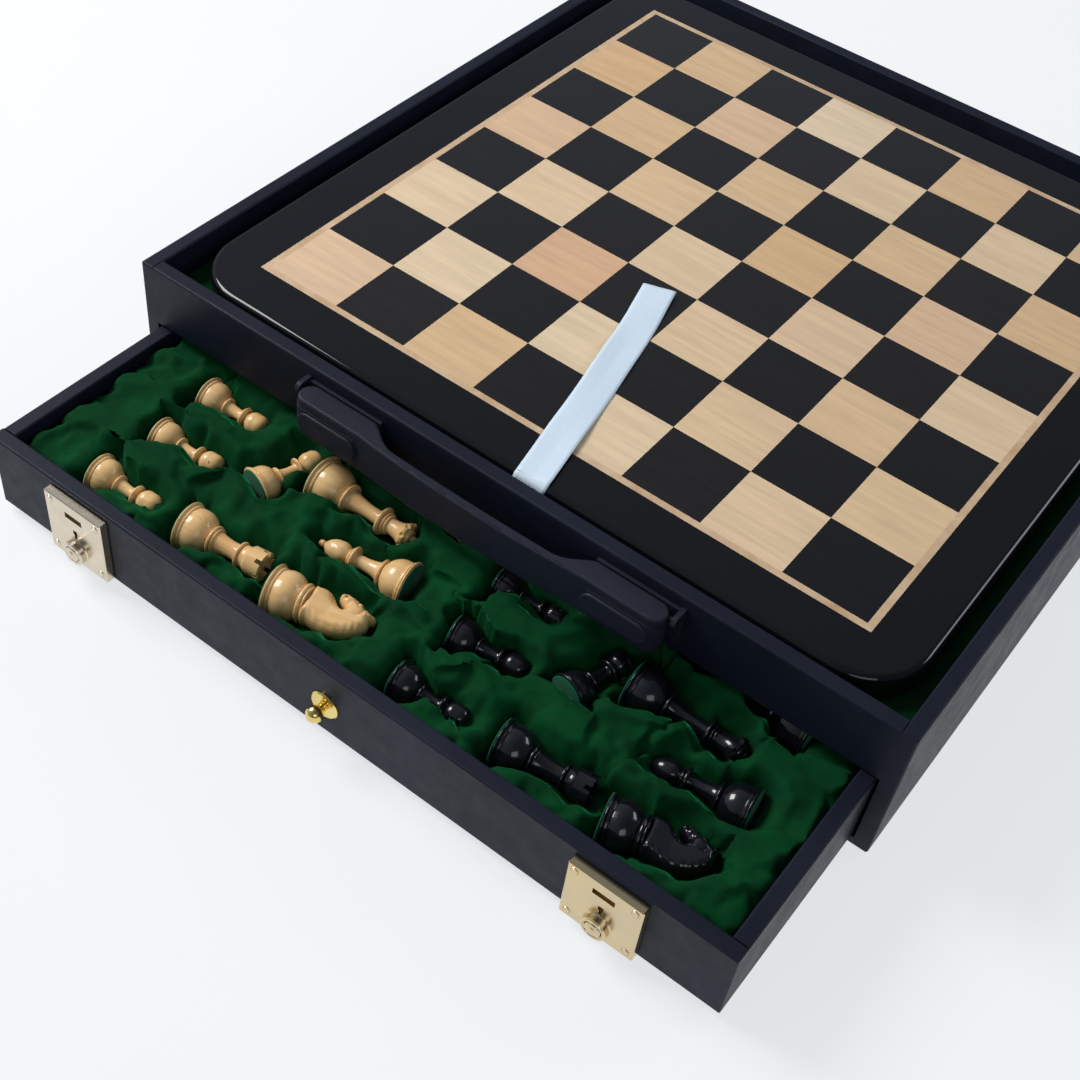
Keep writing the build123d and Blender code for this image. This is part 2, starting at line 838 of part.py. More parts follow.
def knob():
    """A ball on a short stem, with the stud that holds it in the face board."""
    with BuildPart() as ball_knob:
        with BuildSketch(Plane.XY.offset(knob_height)):
            with BuildLine():
                radius = knob_ball_diameter / 2
                stem = knob_stem_diameter / 2
                stud = knob_stud_diameter / 2
                first = degrees(asin(stem / radius))
                sphere = [
                    (radius * sin(radians(turned)), radius * cos(radians(turned)) - knob_ball_reach)
                    for turned in (first, 50, 75, 100, 125, 150, 180)
                ]
                shank = [(0, knob_stud_length), (stud, knob_stud_length), (stud, 0), (stem, 0)]
                Polyline(*shank, *sphere, close=True)
            make_face()
        revolve(axis=Axis((0, 0, knob_height), (0, 1, 0)))
    return ball_knob.part


def knob_rose():
    """The disc behind the knob, with a softened rim."""
    with BuildPart() as rose:
        with BuildSketch(Plane.XZ):
            with Locations((0, knob_height)):
                Circle(rose_diameter / 2)
                Circle(knob_stem_diameter / 2 + running_clearance, mode=Mode.SUBTRACT)
        extrude(amount=rose_thickness)
        rim = rose.edges().filter_by(GeomType.CIRCLE).group_by(Axis.Y)[0].sort_by(SortBy.RADIUS)[-1]
        chamfer(rim, length=rose_thickness / 2)
    return rose.part


for end, drawer, with_latches, kinds in (
    ("front", front_drawer, True, tuple(pieces)),
    ("back", back_drawer, False, stored_kinds),
):
    boards = {
        "front": drawer_front(with_latches),
        "sides": drawer_sides(),
        "back": drawer_back(),
        "floor": drawer_floor(),
        "stop_pegs": drawer_pegs(),
        "velvet_bed": velvet_bed(kinds),
        "knob": knob(),
        "knob_rose": knob_rose(),
    }
    for piece_name, shape in boards.items():
        with BuildPart() as placed:
            with Locations(drawer):
                add(shape)
        placed.part.label = f"{end}_drawer_{piece_name}"
        export_step(placed.part, f"parts/{end}_drawer_{piece_name}.step")

# ---------------------------------------------------------------- the pieces in their drawers

for shade in ("light", "dark"):
    for kind, upright in pieces.items():
        with BuildPart() as group:
            with Locations(*(plane.location for plane in foot_planes(front_drawer, shade, (kind,)))):
                add(upright.part)
        group.part.label = f"{shade}_{kind}" if kind in royals else f"{shade}_{kind}s"
        export_step(group.part, f"parts/{group.part.label}.step")

plain_pieces = {
    kind: plain_piece(radii[kind], radii[kind] / 3, head_radii[kind] - pocket_side_clearance, heights[kind])
    for kind in stored_kinds
}
for shade in ("light", "dark"):
    with BuildPart() as stored:
        for kind in stored_kinds:
            with Locations(*(plane.location for plane in foot_planes(back_drawer, shade, (kind,)))):
                add(knight.part if kind == "knight" else plain_pieces[kind])
    stored.part.label = f"back_{shade}_pieces"
    export_step(stored.part, f"parts/back_{shade}_pieces.step")

# A felt disc is glued under each piece's foot.
with BuildPart() as base_felts:
    for shade in ("light", "dark"):
        for kind in pieces:
            for plane in foot_planes(front_drawer, shade, (kind,)):
                with BuildSketch(plane):
                    Circle(radii[kind] - felt_thickness)
                extrude(amount=felt_thickness)
base_felts.part.label = "base_felts"
export_step(base_felts.part, "parts/base_felts.step")

# ---------------------------------------------------------------- latches, on the front drawer's face

latch_places = {"left": -latch_from_centre, "right": latch_from_centre}
face = Plane.XZ.offset(-front_face_y)
housing_foot = latch_foot + (latch_height - housing_height) / 2
catch_foot = latch_foot + hasp_slot_rise - catch_height / 2
button_z = latch_foot + button_rise
button_seat = button_travel + stop_clearance
spring_ledge = button_z + button_stem_radius + spring_ledge_rise

with BuildPart() as latch_plates:
    with BuildSketch(face):
        with Locations(*((x, latch_foot + latch_height / 2) for x in latch_places.values())):
            Rectangle(latch_width, latch_height)
    extrude(amount=latch_thickness)
    chamfer(latch_plates.faces().group_by(Axis.Y)[0].edges(), length=latch_bevel)
    with BuildSketch(face):
        with Locations(*((x, button_z) for x in latch_places.values())):
            Circle(collar_radius)
    extrude(amount=latch_thickness + collar_reach)
    with BuildSketch(face):
        for x in latch_places.values():
            with Locations((x, button_z)):
                Circle(button_radius + 2 * running_clearance)
            with Locations((x, latch_foot + hasp_slot_rise)):
                SlotOverall(hasp_slot_width, hasp_slot_height)
            with Locations((x, latch_foot + keyhole_rise)):
                Circle(keyhole_radius)
                Rectangle(keyhole_radius, keyhole_leg, align=(Align.CENTER, Align.MAX))
            with Locations(*rivet_places(x)):
                Circle(rivet_shank_radius)
    extrude(amount=latch_thickness + collar_reach, mode=Mode.SUBTRACT)
latch_plates.part.label = "latch_plates"
export_step(latch_plates.part, "parts/latch_plates.step")

with BuildPart() as latch_rivets:
    all_rivets = [place for x in latch_places.values() for place in rivet_places(x)]
    with BuildSketch(face.offset(latch_thickness)):
        with Locations(*all_rivets):
            Circle(rivet_shank_radius)
    extrude(amount=-rivet_length)
    with BuildSketch(face.offset(latch_thickness)):
        with Locations(*all_rivets):
            Circle(rivet_head_radius)
    extrude(amount=rivet_head_reach, taper=rivet_head_taper)
latch_rivets.part.label = "latch_rivets"
export_step(latch_rivets.part, "parts/latch_rivets.step")

# A shallow steel box behind each plate, open towards it, with a ledge that the spring stands on.
with BuildPart() as latch_housings:
    for x in latch_places.values():
        with BuildSketch(face):
            with Locations((x, housing_foot + housing_height / 2)):
                Rectangle(housing_width, housing_height)
        extrude(amount=-housing_depth)
        with BuildSketch(face):
            with Locations((x, housing_foot + housing_height / 2)):
                Rectangle(housing_width - 2 * housing_wall, housing_height - 2 * housing_wall)
        extrude(amount=housing_wall - housing_depth, mode=Mode.SUBTRACT)
        fill(
            (x - housing_width / 2 + housing_wall, x + housing_width / 2 - housing_wall),
            (front_face_y + stop_clearance, front_face_y + housing_depth - housing_wall),
            (spring_ledge, spring_ledge + housing_wall),
        )
latch_housings.part.label = "latch_housings"
export_step(latch_housings.part, "parts/latch_housings.step")

for side, x in latch_places.items():
    with BuildPart() as latch_button:
        with BuildSketch(face.offset(latch_thickness + button_reach)):
            with Locations((x, button_z)):
                Circle(button_radius)
        extrude(amount=button_seat - latch_thickness - button_reach)
        for step in button_dome_steps:
            chamfer(latch_button.faces().sort_by(Axis.Y)[0].edges(), length=step)
        with BuildSketch(face.offset(button_seat)):
            with Locations((x, button_z)):
                Circle(button_stem_radius)
        extrude(amount=button_travel + stop_clearance + housing_wall - housing_depth - button_seat)
    latch_button.part.label = f"{side}_latch_button"
    export_step(latch_button.part, f"parts/{side}_latch_button.step")

    # The catch holds the hasp behind the slot; its lip bears on the spring, and it is drawn down.
    with BuildPart() as latch_catch:
        with BuildSketch(face.offset(-stop_clearance)):
            with Locations((x, catch_foot + catch_height / 2)):
                Rectangle(catch_width, catch_height)
                SlotOverall(hasp_slot_width, hasp_slot_height, mode=Mode.SUBTRACT)
        extrude(amount=-catch_thickness)
        fill(
            (x - catch_width / 2, x + catch_width / 2),
            (front_face_y + stop_clearance, front_face_y + stop_clearance + catch_lip),
            (catch_foot, catch_foot + catch_thickness),
        )
    latch_catch.part.label = f"{side}_latch_catch"
    export_step(latch_catch.part, f"parts/{side}_latch_catch.step")

    with BuildPart() as latch_spring:
        spring_y = front_face_y + (stop_clearance + catch_thickness + housing_depth - housing_wall) / 2
        with BuildSketch(Plane((x, spring_y, spring_ledge + housing_wall))):
            Circle(latch_spring_radius)
            Circle(latch_spring_radius / 2, mode=Mode.SUBTRACT)
        extrude(amount=catch_foot - spring_ledge - housing_wall)
    latch_spring.part.label = f"{side}_latch_spring"
    export_step(latch_spring.part, f"parts/{side}_latch_spring.step")

# ---------------------------------------------------------------- carrying handle

# Seen from above: two blocks with round outer ends, and a bowed grip scooped out behind.
with BuildPart() as carry_handle:
    with BuildSketch(Plane.XY.offset(handle_bottom)):
        with BuildLine():
            scoop_end = handle_block_inner - grip_scoop_length
            block_end = handle_block_outer - round_end
            ThreePointArc(
                (block_end, handle_back),
                (handle_block_outer, handle_middle),
                (block_end, handle_face),
            )
            Line((block_end, handle_face), (handle_block_inner, handle_face))
            ThreePointArc(
                (handle_block_inner, handle_face),
                (0, handle_face - grip_bow),
                (-handle_block_inner, handle_face),
            )
            Line((-handle_block_inner, handle_face), (-block_end, handle_face))
            ThreePointArc(
                (-block_end, handle_face),
                (-handle_block_outer, handle_middle),
                (-block_end, handle_back),
            )
            Line((-block_end, handle_back), (-handle_block_inner, handle_back))
            Spline(
                (-handle_block_inner, handle_back),
                (-scoop_end, grip_back),
                tangents=((1, -0.4), (1, -0.02)),
            )
            ThreePointArc((-scoop_end, grip_back), (0, grip_back - grip_inner_bow), (scoop_end, grip_back))
            Spline(
                (scoop_end, grip_back),
                (handle_block_inner, handle_back),
                tangents=((1, 0.02), (1, 0.4)),
            )
            Line((handle_block_inner, handle_back), (block_end, handle_back))
        make_face()
    extrude(amount=handle_top - handle_bottom)
    rims = carry_handle.faces().sort_by(Axis.Z)
    fillet(ShapeList([*rims[0].edges(), *rims[-1].edges()]), radius=handle_edge)
    # A raised pad runs along each block's face and round its outer end.
    for direction in (-1, 1):
        pad_inner = handle_block_outer - pad_length
        with BuildSketch(Plane.XY.offset(middle((handle_bottom, handle_top)) - pad_height / 2)):
            with BuildLine():
                Polyline(
                    (direction * block_end, handle_middle),
                    (direction * pad_inner, handle_middle),
                    (direction * pad_inner, handle_face - pad_reach),
                    (direction * block_end, handle_face - pad_reach),
                )
                ThreePointArc(
                    (direction * block_end, handle_face - pad_reach),
                    (
                        direction * (block_end + (round_end + pad_reach) * sin(radians(45))),
                        handle_middle - (round_end + pad_reach) * cos(radians(45)),
                    ),
                    (direction * (handle_block_outer + pad_reach), handle_middle),
                )
                Line(
                    (direction * (handle_block_outer + pad_reach), handle_middle),
                    (direction * block_end, handle_middle),
                )
            make_face()
        extrude(amount=pad_height)
        with BuildSketch(Plane.YZ.offset(direction * handle_block_outer)):
            with Locations((pivot_y, pivot_z)):
                Circle(pivot_pin_radius)
        extrude(amount=-direction * pin_grip, mode=Mode.SUBTRACT)
carry_handle.part.label = "carry_handle"
export_step(carry_handle.part, "parts/carry_handle.step")

with BuildPart() as handle_pivot_pins:
    for direction in (-1, 1):
        with BuildSketch(Plane.YZ.offset(direction * bracket_outer)):
            with Locations((pivot_y, pivot_z)):
                Circle(pivot_pin_radius)
        extrude(amount=-direction * (pin_grip + bracket_overlap))
handle_pivot_pins.part.label = "handle_pivot_pins"
export_step(handle_pivot_pins.part, "parts/handle_pivot_pins.step")

# Each bracket is a plate on the rail with an ear at its outer end that holds the pivot pin.
with BuildPart() as handle_brackets:
    for direction in (-1, 1):
        fill(
            sorted((direction * bracket_inner, direction * bracket_outer)),
            (-half_depth - bracket_thickness, -half_depth),
            (bracket_bottom, bracket_top),
        )
        with BuildSketch(Plane.YZ.offset(direction * ear_inner)):
            with Locations((pivot_y, pivot_z)):
                Circle(bracket_ear_radius)
            with Locations(((pivot_y - half_depth) / 2, pivot_z)):
                Rectangle(pivot_from_case, 2 * bracket_ear_radius)
            with Locations((pivot_y, pivot_z)):
                Circle(pivot_pin_radius + running_clearance, mode=Mode.SUBTRACT)
        extrude(amount=direction * bracket_ear_thickness)
    with BuildSketch(Plane.XZ.offset(half_depth)):
        with Locations(*bracket_screw_places):
            Circle(bracket_screw_radius)
    extrude(amount=bracket_thickness, mode=Mode.SUBTRACT)
handle_brackets.part.label = "handle_brackets"
export_step(handle_brackets.part, "parts/handle_brackets.step")

with BuildPart() as bracket_screws:
    with BuildSketch(Plane.XZ.offset(half_depth + bracket_thickness)):
        with Locations(*bracket_screw_places):
            Circle(bracket_screw_radius)
    extrude(amount=-bracket_screw_length)
    with BuildSketch(Plane.XZ.offset(half_depth + bracket_thickness)):
        with Locations(*bracket_screw_places):
            Circle(bracket_screw_head_radius)
    extrude(amount=bracket_screw_head_height)
bracket_screws.part.label = "bracket_screws"
export_step(bracket_screws.part, "parts/bracket_screws.step")
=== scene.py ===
"""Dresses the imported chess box: finishes, turned pieces, gathered velvet, ribbon, floor and light.

Metres in the frame's own axes. Profiles and places of the chess pieces are in millimetres, as in
the model, and MM turns them into metres.
"""
import json
import math

import bmesh
import bpy
import numpy as np
from mathutils import Matrix, Vector, geometry


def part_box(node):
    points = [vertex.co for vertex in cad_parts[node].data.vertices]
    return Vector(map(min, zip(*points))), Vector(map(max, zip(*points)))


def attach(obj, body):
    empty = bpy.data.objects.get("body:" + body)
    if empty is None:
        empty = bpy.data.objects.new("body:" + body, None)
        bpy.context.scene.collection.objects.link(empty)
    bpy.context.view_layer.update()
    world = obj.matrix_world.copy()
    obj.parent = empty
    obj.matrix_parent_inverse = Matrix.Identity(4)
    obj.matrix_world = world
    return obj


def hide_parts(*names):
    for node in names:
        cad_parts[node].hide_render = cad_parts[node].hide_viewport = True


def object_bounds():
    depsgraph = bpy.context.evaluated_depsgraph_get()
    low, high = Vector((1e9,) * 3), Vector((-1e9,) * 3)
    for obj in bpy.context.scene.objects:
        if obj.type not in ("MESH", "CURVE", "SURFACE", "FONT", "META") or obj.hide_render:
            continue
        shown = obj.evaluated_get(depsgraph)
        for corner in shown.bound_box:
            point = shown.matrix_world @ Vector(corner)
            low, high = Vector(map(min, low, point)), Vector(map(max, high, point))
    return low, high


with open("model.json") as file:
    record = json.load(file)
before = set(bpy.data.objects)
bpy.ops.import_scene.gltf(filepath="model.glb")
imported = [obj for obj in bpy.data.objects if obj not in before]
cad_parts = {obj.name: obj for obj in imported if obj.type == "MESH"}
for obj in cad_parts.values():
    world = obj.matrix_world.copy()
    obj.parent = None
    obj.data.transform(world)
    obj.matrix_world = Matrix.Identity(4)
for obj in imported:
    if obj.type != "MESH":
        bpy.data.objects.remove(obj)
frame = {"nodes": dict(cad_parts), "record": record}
cad_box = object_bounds()
nodes = frame["nodes"]
MM = 0.001

# ---- camera

CAMERA_PLACE = Vector((0.37066, -0.84050, 0.79216))
CAMERA_AIM = Vector((0.00154, -0.22379, 0.0))
CAMERA_ROLL = math.radians(8.22)
FOCAL_PIXELS = 1606.4
IMAGE_PIXELS = 1080
SENSOR = 36.0
CENTRE_DROP_PIXELS = 1.5


def add_camera():
    """The photograph's viewpoint, as solved from the board's grid."""
    data = bpy.data.cameras.new("camera")
    data.sensor_width = SENSOR
    data.lens = FOCAL_PIXELS / IMAGE_PIXELS * SENSOR
    data.shift_y = CENTRE_DROP_PIXELS / IMAGE_PIXELS
    data.clip_start = 0.02
    camera = bpy.data.objects.new("camera", data)
    bpy.context.scene.collection.objects.link(camera)
    aim = (CAMERA_AIM - CAMERA_PLACE).to_track_quat("-Z", "Y").to_matrix().to_4x4()
    camera.matrix_world = (
        Matrix.Translation(CAMERA_PLACE) @ aim @ Matrix.Rotation(CAMERA_ROLL, 4, "Z")
    )
    bpy.context.scene.camera = camera


# ---- shader helpers


class Shader:
    """A principled material that is built up from procedural layers."""

    def __init__(self, name, **constants):
        self.material = bpy.data.materials.new(name)
        self.material.use_nodes = True
        self.tree = self.material.node_tree
        self.bsdf = self.tree.nodes["Principled BSDF"]
        for socket, value in constants.items():
            self.bsdf.inputs[socket.replace("_", " ")].default_value = value
        self.coordinates = self.node("ShaderNodeTexCoord").outputs["Object"]

    def node(self, kind, **settings):
        made = self.tree.nodes.new(kind)
        for key, value in settings.items():
            setattr(made, key, value)
        return made

    def feed(self, target, source):
        """Links a socket to a node's output, or sets its value."""
        if isinstance(source, (int, float, tuple)):
            target.default_value = source
        else:
            self.tree.links.new(source, target)

    def math(self, operation, first, second=0.0, third=0.0):
        made = self.node("ShaderNodeMath", operation=operation)
        for socket, source in zip(made.inputs, (first, second, third)):
            self.feed(socket, source)
        return made.outputs[0]

    def stretched(self, scale, offset=(0, 0, 0)):
        """The object's coordinates, scaled along each axis."""
        mapping = self.node("ShaderNodeMapping")
        mapping.inputs["Scale"].default_value = scale
        mapping.inputs["Location"].default_value = offset
        self.feed(mapping.inputs["Vector"], self.coordinates)
        return mapping.outputs[0]

    def noise(self, scale, detail=4.0, roughness=0.5, distortion=0.0, vector=None):
        made = self.node("ShaderNodeTexNoise")
        made.inputs["Scale"].default_value = scale
        made.inputs["Detail"].default_value = detail
        made.inputs["Roughness"].default_value = roughness
        made.inputs["Distortion"].default_value = distortion
        self.feed(made.inputs["Vector"], vector or self.coordinates)
        return made.outputs["Fac"]

    def cells(self, scale, feature="F1", vector=None):
        made = self.node("ShaderNodeTexVoronoi", feature=feature)
        made.inputs["Scale"].default_value = scale
        self.feed(made.inputs["Vector"], vector or self.coordinates)
        return made.outputs["Distance"]

    def ramp(self, factor, *stops):
        """A colour ramp over (place, colour) stops, where a colour may be one grey number."""
        made = self.node("ShaderNodeValToRGB")
        elements = made.color_ramp.elements
        while len(elements) < len(stops):
            elements.new(0.5)
        for element, (place, colour) in zip(elements, stops):
            element.position = place
            element.color = (colour, colour, colour, 1) if isinstance(colour, float) else (*colour, 1)
        self.feed(made.inputs["Fac"], factor)
        return made.outputs["Color"]

    def mix(self, factor, first, second, blend="MIX"):
        made = self.node("ShaderNodeMix", data_type="RGBA", blend_type=blend)
        for socket, source in ((0, factor), (6, first), (7, second)):
            if isinstance(source, tuple) and len(source) == 3:
                source = (*source, 1.0)
            self.feed(made.inputs[socket], source)
        return made.outputs[2]

    def bump(self, height, strength, distance, below=None):
        made = self.node("ShaderNodeBump")
        made.inputs["Strength"].default_value = strength
        made.inputs["Distance"].default_value = distance
        self.feed(made.inputs["Height"], height)
        if below:
            self.feed(made.inputs["Normal"], below)
        return made.outputs["Normal"]

    def finish(self, colour=None, roughness=None, normal=None):
        for socket, source in (("Base Color", colour), ("Roughness", roughness), ("Normal", normal)):
            if source is not None:
                self.feed(self.bsdf.inputs[socket], source)
        return self.material


# ---- finishes


def leatherette(name="leatherette", pale=(0.013, 0.017, 0.033), deep=(0.006, 0.008, 0.017)):
    """Navy leather cloth: fine pebbling, faint scuffs, satin gloss."""
    shader = Shader(name, Roughness=0.5, Specular_IOR_Level=0.2)
    patches = shader.noise(9.0, 5.0, 0.6)
    colour = shader.ramp(patches, (0.3, deep), (0.75, pale))
    pebbles = shader.cells(950.0)
    weave = shader.noise(2600.0, 2.0)
    gloss = shader.ramp(shader.noise(60.0, 6.0, 0.7), (0.35, 0.44), (0.7, 0.58))
    normal = shader.bump(pebbles, 0.25, 0.00012)
    normal = shader.bump(weave, 0.15, 0.00005, below=normal)
    return shader.finish(colour, gloss, normal)


def black_lacquer():
    """Deep polished black on the board's border."""
    shader = Shader(
        "black_lacquer", Roughness=0.1, Specular_IOR_Level=0.05, Coat_Weight=0.62, Coat_Roughness=0.04
    )
    colour = shader.ramp(shader.noise(3.0, 3.0), (0.3, (0.0025, 0.003, 0.0045)), (0.8, (0.005, 0.006, 0.008)))
    smears = shader.ramp(shader.noise(14.0, 6.0, 0.65), (0.3, 0.07), (0.8, 0.16))
    normal = shader.bump(shader.noise(6.0, 2.0), 0.08, 0.0006)
    return shader.finish(colour, smears, normal)


SQUARE = 0.057
FIELD_Y = -0.0055


def tile_random(shader):
    """A random number and a random colour, each constant over a square of the board."""
    shift = (4.0, 4.0 - FIELD_Y / SQUARE, 0.0)
    mapping = shader.stretched((1 / SQUARE, 1 / SQUARE, 0.0), shift)
    floor = shader.node("ShaderNodeVectorMath", operation="FLOOR")
    shader.feed(floor.inputs[0], mapping)
    white = shader.node("ShaderNodeTexWhiteNoise", noise_dimensions="2D")
    shader.feed(white.inputs["Vector"], floor.outputs[0])
    return white.outputs["Value"], white.outputs["Color"]


def tile_wood(name, tones, streaks, gloss, streak_depth):
    """Veneer squares cut from different boards: each has its own tone and its own run of grain."""
    shader = Shader(name, Roughness=gloss, Specular_IOR_Level=0.2, Coat_Weight=0.55, Coat_Roughness=0.08)
    value, colour = tile_random(shader)
    run = shader.node("ShaderNodeVectorMath", operation="MULTIPLY_ADD")
    shader.feed(run.inputs[0], colour)
    run.inputs[1].default_value = (0.7, 0.7, 0.7)
    shader.feed(run.inputs[2], shader.coordinates)
    mapping = shader.node("ShaderNodeMapping")
    mapping.inputs["Scale"].default_value = streaks
    mapping.inputs["Rotation"].default_value = (0, 0, math.radians(4))
    shader.feed(mapping.inputs["Vector"], run.outputs[0])
    grain = shader.noise(1.0, 7.0, 0.62, 0.5, mapping.outputs[0])
    tone = shader.ramp(value, *tones)
    dark = shader.ramp(grain, (0.36, streak_depth), (0.62, 1.0))
    colour = shader.mix(1.0, tone, dark, "MULTIPLY")
    roughness = shader.ramp(grain, (0.3, gloss + 0.06), (0.7, gloss))
    normal = shader.bump(grain, 0.05, 0.0002)
    return shader.finish(colour, roughness, normal)


MAPLE_TONES = (
    (0.0, (0.78, 0.51, 0.27)),
    (0.35, (0.86, 0.63, 0.39)),
    (0.7, (0.90, 0.71, 0.48)),
    (1.0, (0.80, 0.50, 0.30)),
)
EBONY_TONES = ((0.0, (0.006, 0.006, 0.007)), (0.5, (0.008, 0.007, 0.008)), (1.0, (0.013, 0.011, 0.011)))


def maple_strip():
    shader = Shader("maple_strip", Roughness=0.3, Coat_Weight=0.5, Coat_Roughness=0.1)
    grain = shader.noise(1.0, 6.0, 0.6, 0.4, shader.stretched((60, 60, 200)))
    colour = shader.ramp(grain, (0.3, (0.58, 0.36, 0.19)), (0.7, (0.78, 0.58, 0.38)))
    return shader.finish(colour, None, shader.bump(grain, 0.04, 0.0002))


def plain_wood():
    shader = Shader("plain_wood", Roughness=0.65)
    grain = shader.noise(1.0, 6.0, 0.6, 0.6, shader.stretched((12, 160, 160)))
    colour = shader.ramp(grain, (0.3, (0.36, 0.25, 0.14)), (0.7, (0.58, 0.45, 0.29)))
    return shader.finish(colour, None, shader.bump(grain, 0.2, 0.0003))


def turned_wood(name, tones, gloss, coat):
    """Polished turned wood, with the grain along the piece and faint rings round it."""
    shader = Shader(name, Roughness=gloss, Specular_IOR_Level=0.25, Coat_Weight=coat, Coat_Roughness=0.06)
    grain = shader.noise(1.0, 6.0, 0.6, 0.8, shader.stretched((230, 230, 26)))
    broad = shader.noise(1.0, 3.0, 0.5, 0.4, shader.stretched((60, 60, 14)))
    grain = shader.math("MULTIPLY_ADD", grain, 0.6, shader.math("MULTIPLY", broad, 0.4))
    colour = shader.ramp(grain, *tones)
    rings = shader.noise(1.0, 2.0, 0.5, 0.0, shader.stretched((4, 4, 2200)))
    roughness = shader.ramp(grain, (0.3, gloss + 0.05), (0.7, gloss))
    return shader.finish(colour, roughness, shader.bump(rings, 0.04, 0.00008))


BOXWOOD_TONES = ((0.28, (0.70, 0.37, 0.13)), (0.5, (0.88, 0.56, 0.245)), (0.72, (0.95, 0.68, 0.35)))
EBONISED_TONES = ((0.3, (0.003, 0.003, 0.005)), (0.7, (0.008, 0.008, 0.012)))


def velvet():
    """Deep green pile: brighter where it is seen edge on, with brushed patches."""
    shader = Shader(
        "green_velvet",
        Roughness=0.85,
        Specular_IOR_Level=0.1,
        Sheen_Weight=0.32,
        Sheen_Roughness=0.3,
        Sheen_Tint=(0.03, 0.80, 0.28, 1.0),
    )
    brushed = shader.noise(42.0, 5.0, 0.6, 0.6)
    colour = shader.ramp(brushed, (0.3, (0.0004, 0.031, 0.0085)), (0.75, (0.0008, 0.066, 0.017)))
    pile = shader.noise(2400.0, 3.0, 0.7)
    return shader.finish(colour, None, shader.bump(pile, 0.5, 0.0002))


def felt():
    shader = Shader(
        "green_felt", Roughness=0.95, Specular_IOR_Level=0.1, Sheen_Weight=0.1, Sheen_Roughness=0.5
    )
    fluff = shader.noise(900.0, 6.0, 0.75)
    colour = shader.ramp(fluff, (0.3, (0.0, 0.075, 0.032)), (0.7, (0.002, 0.15, 0.07)))
    return shader.finish(colour, None, shader.bump(fluff, 0.7, 0.0003))


def metal(name, deep, pale, gloss, grain_stretch, right_side_reflection_tone=None):
    """Plated metal: fine brushing and faint tarnish, with a painted reflection: a warmer pale tone at the
    object's right.
    """
    shader = Shader(name, Metallic=1.0, Roughness=gloss)
    tarnish = shader.noise(26.0, 6.0, 0.65)
    colour = shader.ramp(tarnish, (0.2, deep), (0.6, pale))
    # Painted reflection: on the object's right (X above 0) the pale tone is warmer, standing in for the warmer
    # light that the metal there reflects.
    if right_side_reflection_tone:
        place = shader.node("ShaderNodeSeparateXYZ")
        shader.feed(place.inputs[0], shader.coordinates)
        side = shader.math("GREATER_THAN", place.outputs["X"], 0.0)
        colour = shader.mix(side, colour, shader.ramp(tarnish, (0.2, deep), (0.6, right_side_reflection_tone)))
    brushing = shader.noise(1.0, 3.0, 0.6, 0.0, shader.stretched(grain_stretch))
    roughness = shader.ramp(brushing, (0.3, gloss + 0.06), (0.7, gloss))
    return shader.finish(colour, roughness, shader.bump(brushing, 0.06, 0.00003))


def satin_ribbon():
    """Pale blue satin: fine cross ribs and long soft float threads."""
    shader = Shader("satin_ribbon", Roughness=0.38, Sheen_Weight=0.2, Specular_IOR_Level=0.6)
    threads = shader.noise(1.0, 3.0, 0.6, 0.0, shader.stretched((4200, 300, 300)))
    colour = shader.ramp(threads, (0.3, (0.66, 0.82, 0.98)), (0.7, (0.80, 0.92, 1.0)))
    return shader.finish(colour, None, shader.bump(threads, 0.2, 0.00005))


# ---- chess piece profiles, in millimetres

# Each row is (radius, height, sag of the arc that leads to it).
FELT = 0.8
SHAPES = {
    "pawn": {"height": 50, "radius": 14},
    "rook": {"height": 60, "radius": 16},
    "bishop": {"height": 67, "radius": 15.5},
    "knight": {"height": 67, "radius": 16.5},
    "queen": {"height": 79, "radius": 17.5},
    "king": {"height": 90, "radius": 18.5},
}


def foot_rows(radius, neck_radius, neck_height):
    """Plinth ring, groove, second ring and the swelling bell up to the neck."""
    ring = 0.1 * radius
    start = FELT + 0.02 * radius
    shoulder = 0.9 * radius
    return [
        (0.0, FELT, 0.0),
        (0.96 * radius, FELT, 0.0),
        (radius, start, 0.0),
        (radius, start + ring, 0.05 * radius),
        (0.93 * radius, start + 1.25 * ring, 0.0),
        (0.93 * radius, start + 1.5 * ring, 0.0),
        (0.955 * radius, start + 1.8 * ring, 0.02 * radius),
        (shoulder, start + 2.6 * ring, 0.02 * radius),
        (neck_radius, neck_height, 0.17 * radius),
    ]


def ring_rows(inner, outer, low, high):
    """One rounded bead between two heights."""
    tall = high - low
    return [
        (inner, low, 0.0),
        (outer, low + 0.12 * tall, 0.0),
        (outer, high - 0.12 * tall, 0.22 * tall),
        (inner, high, 0.0),
    ]


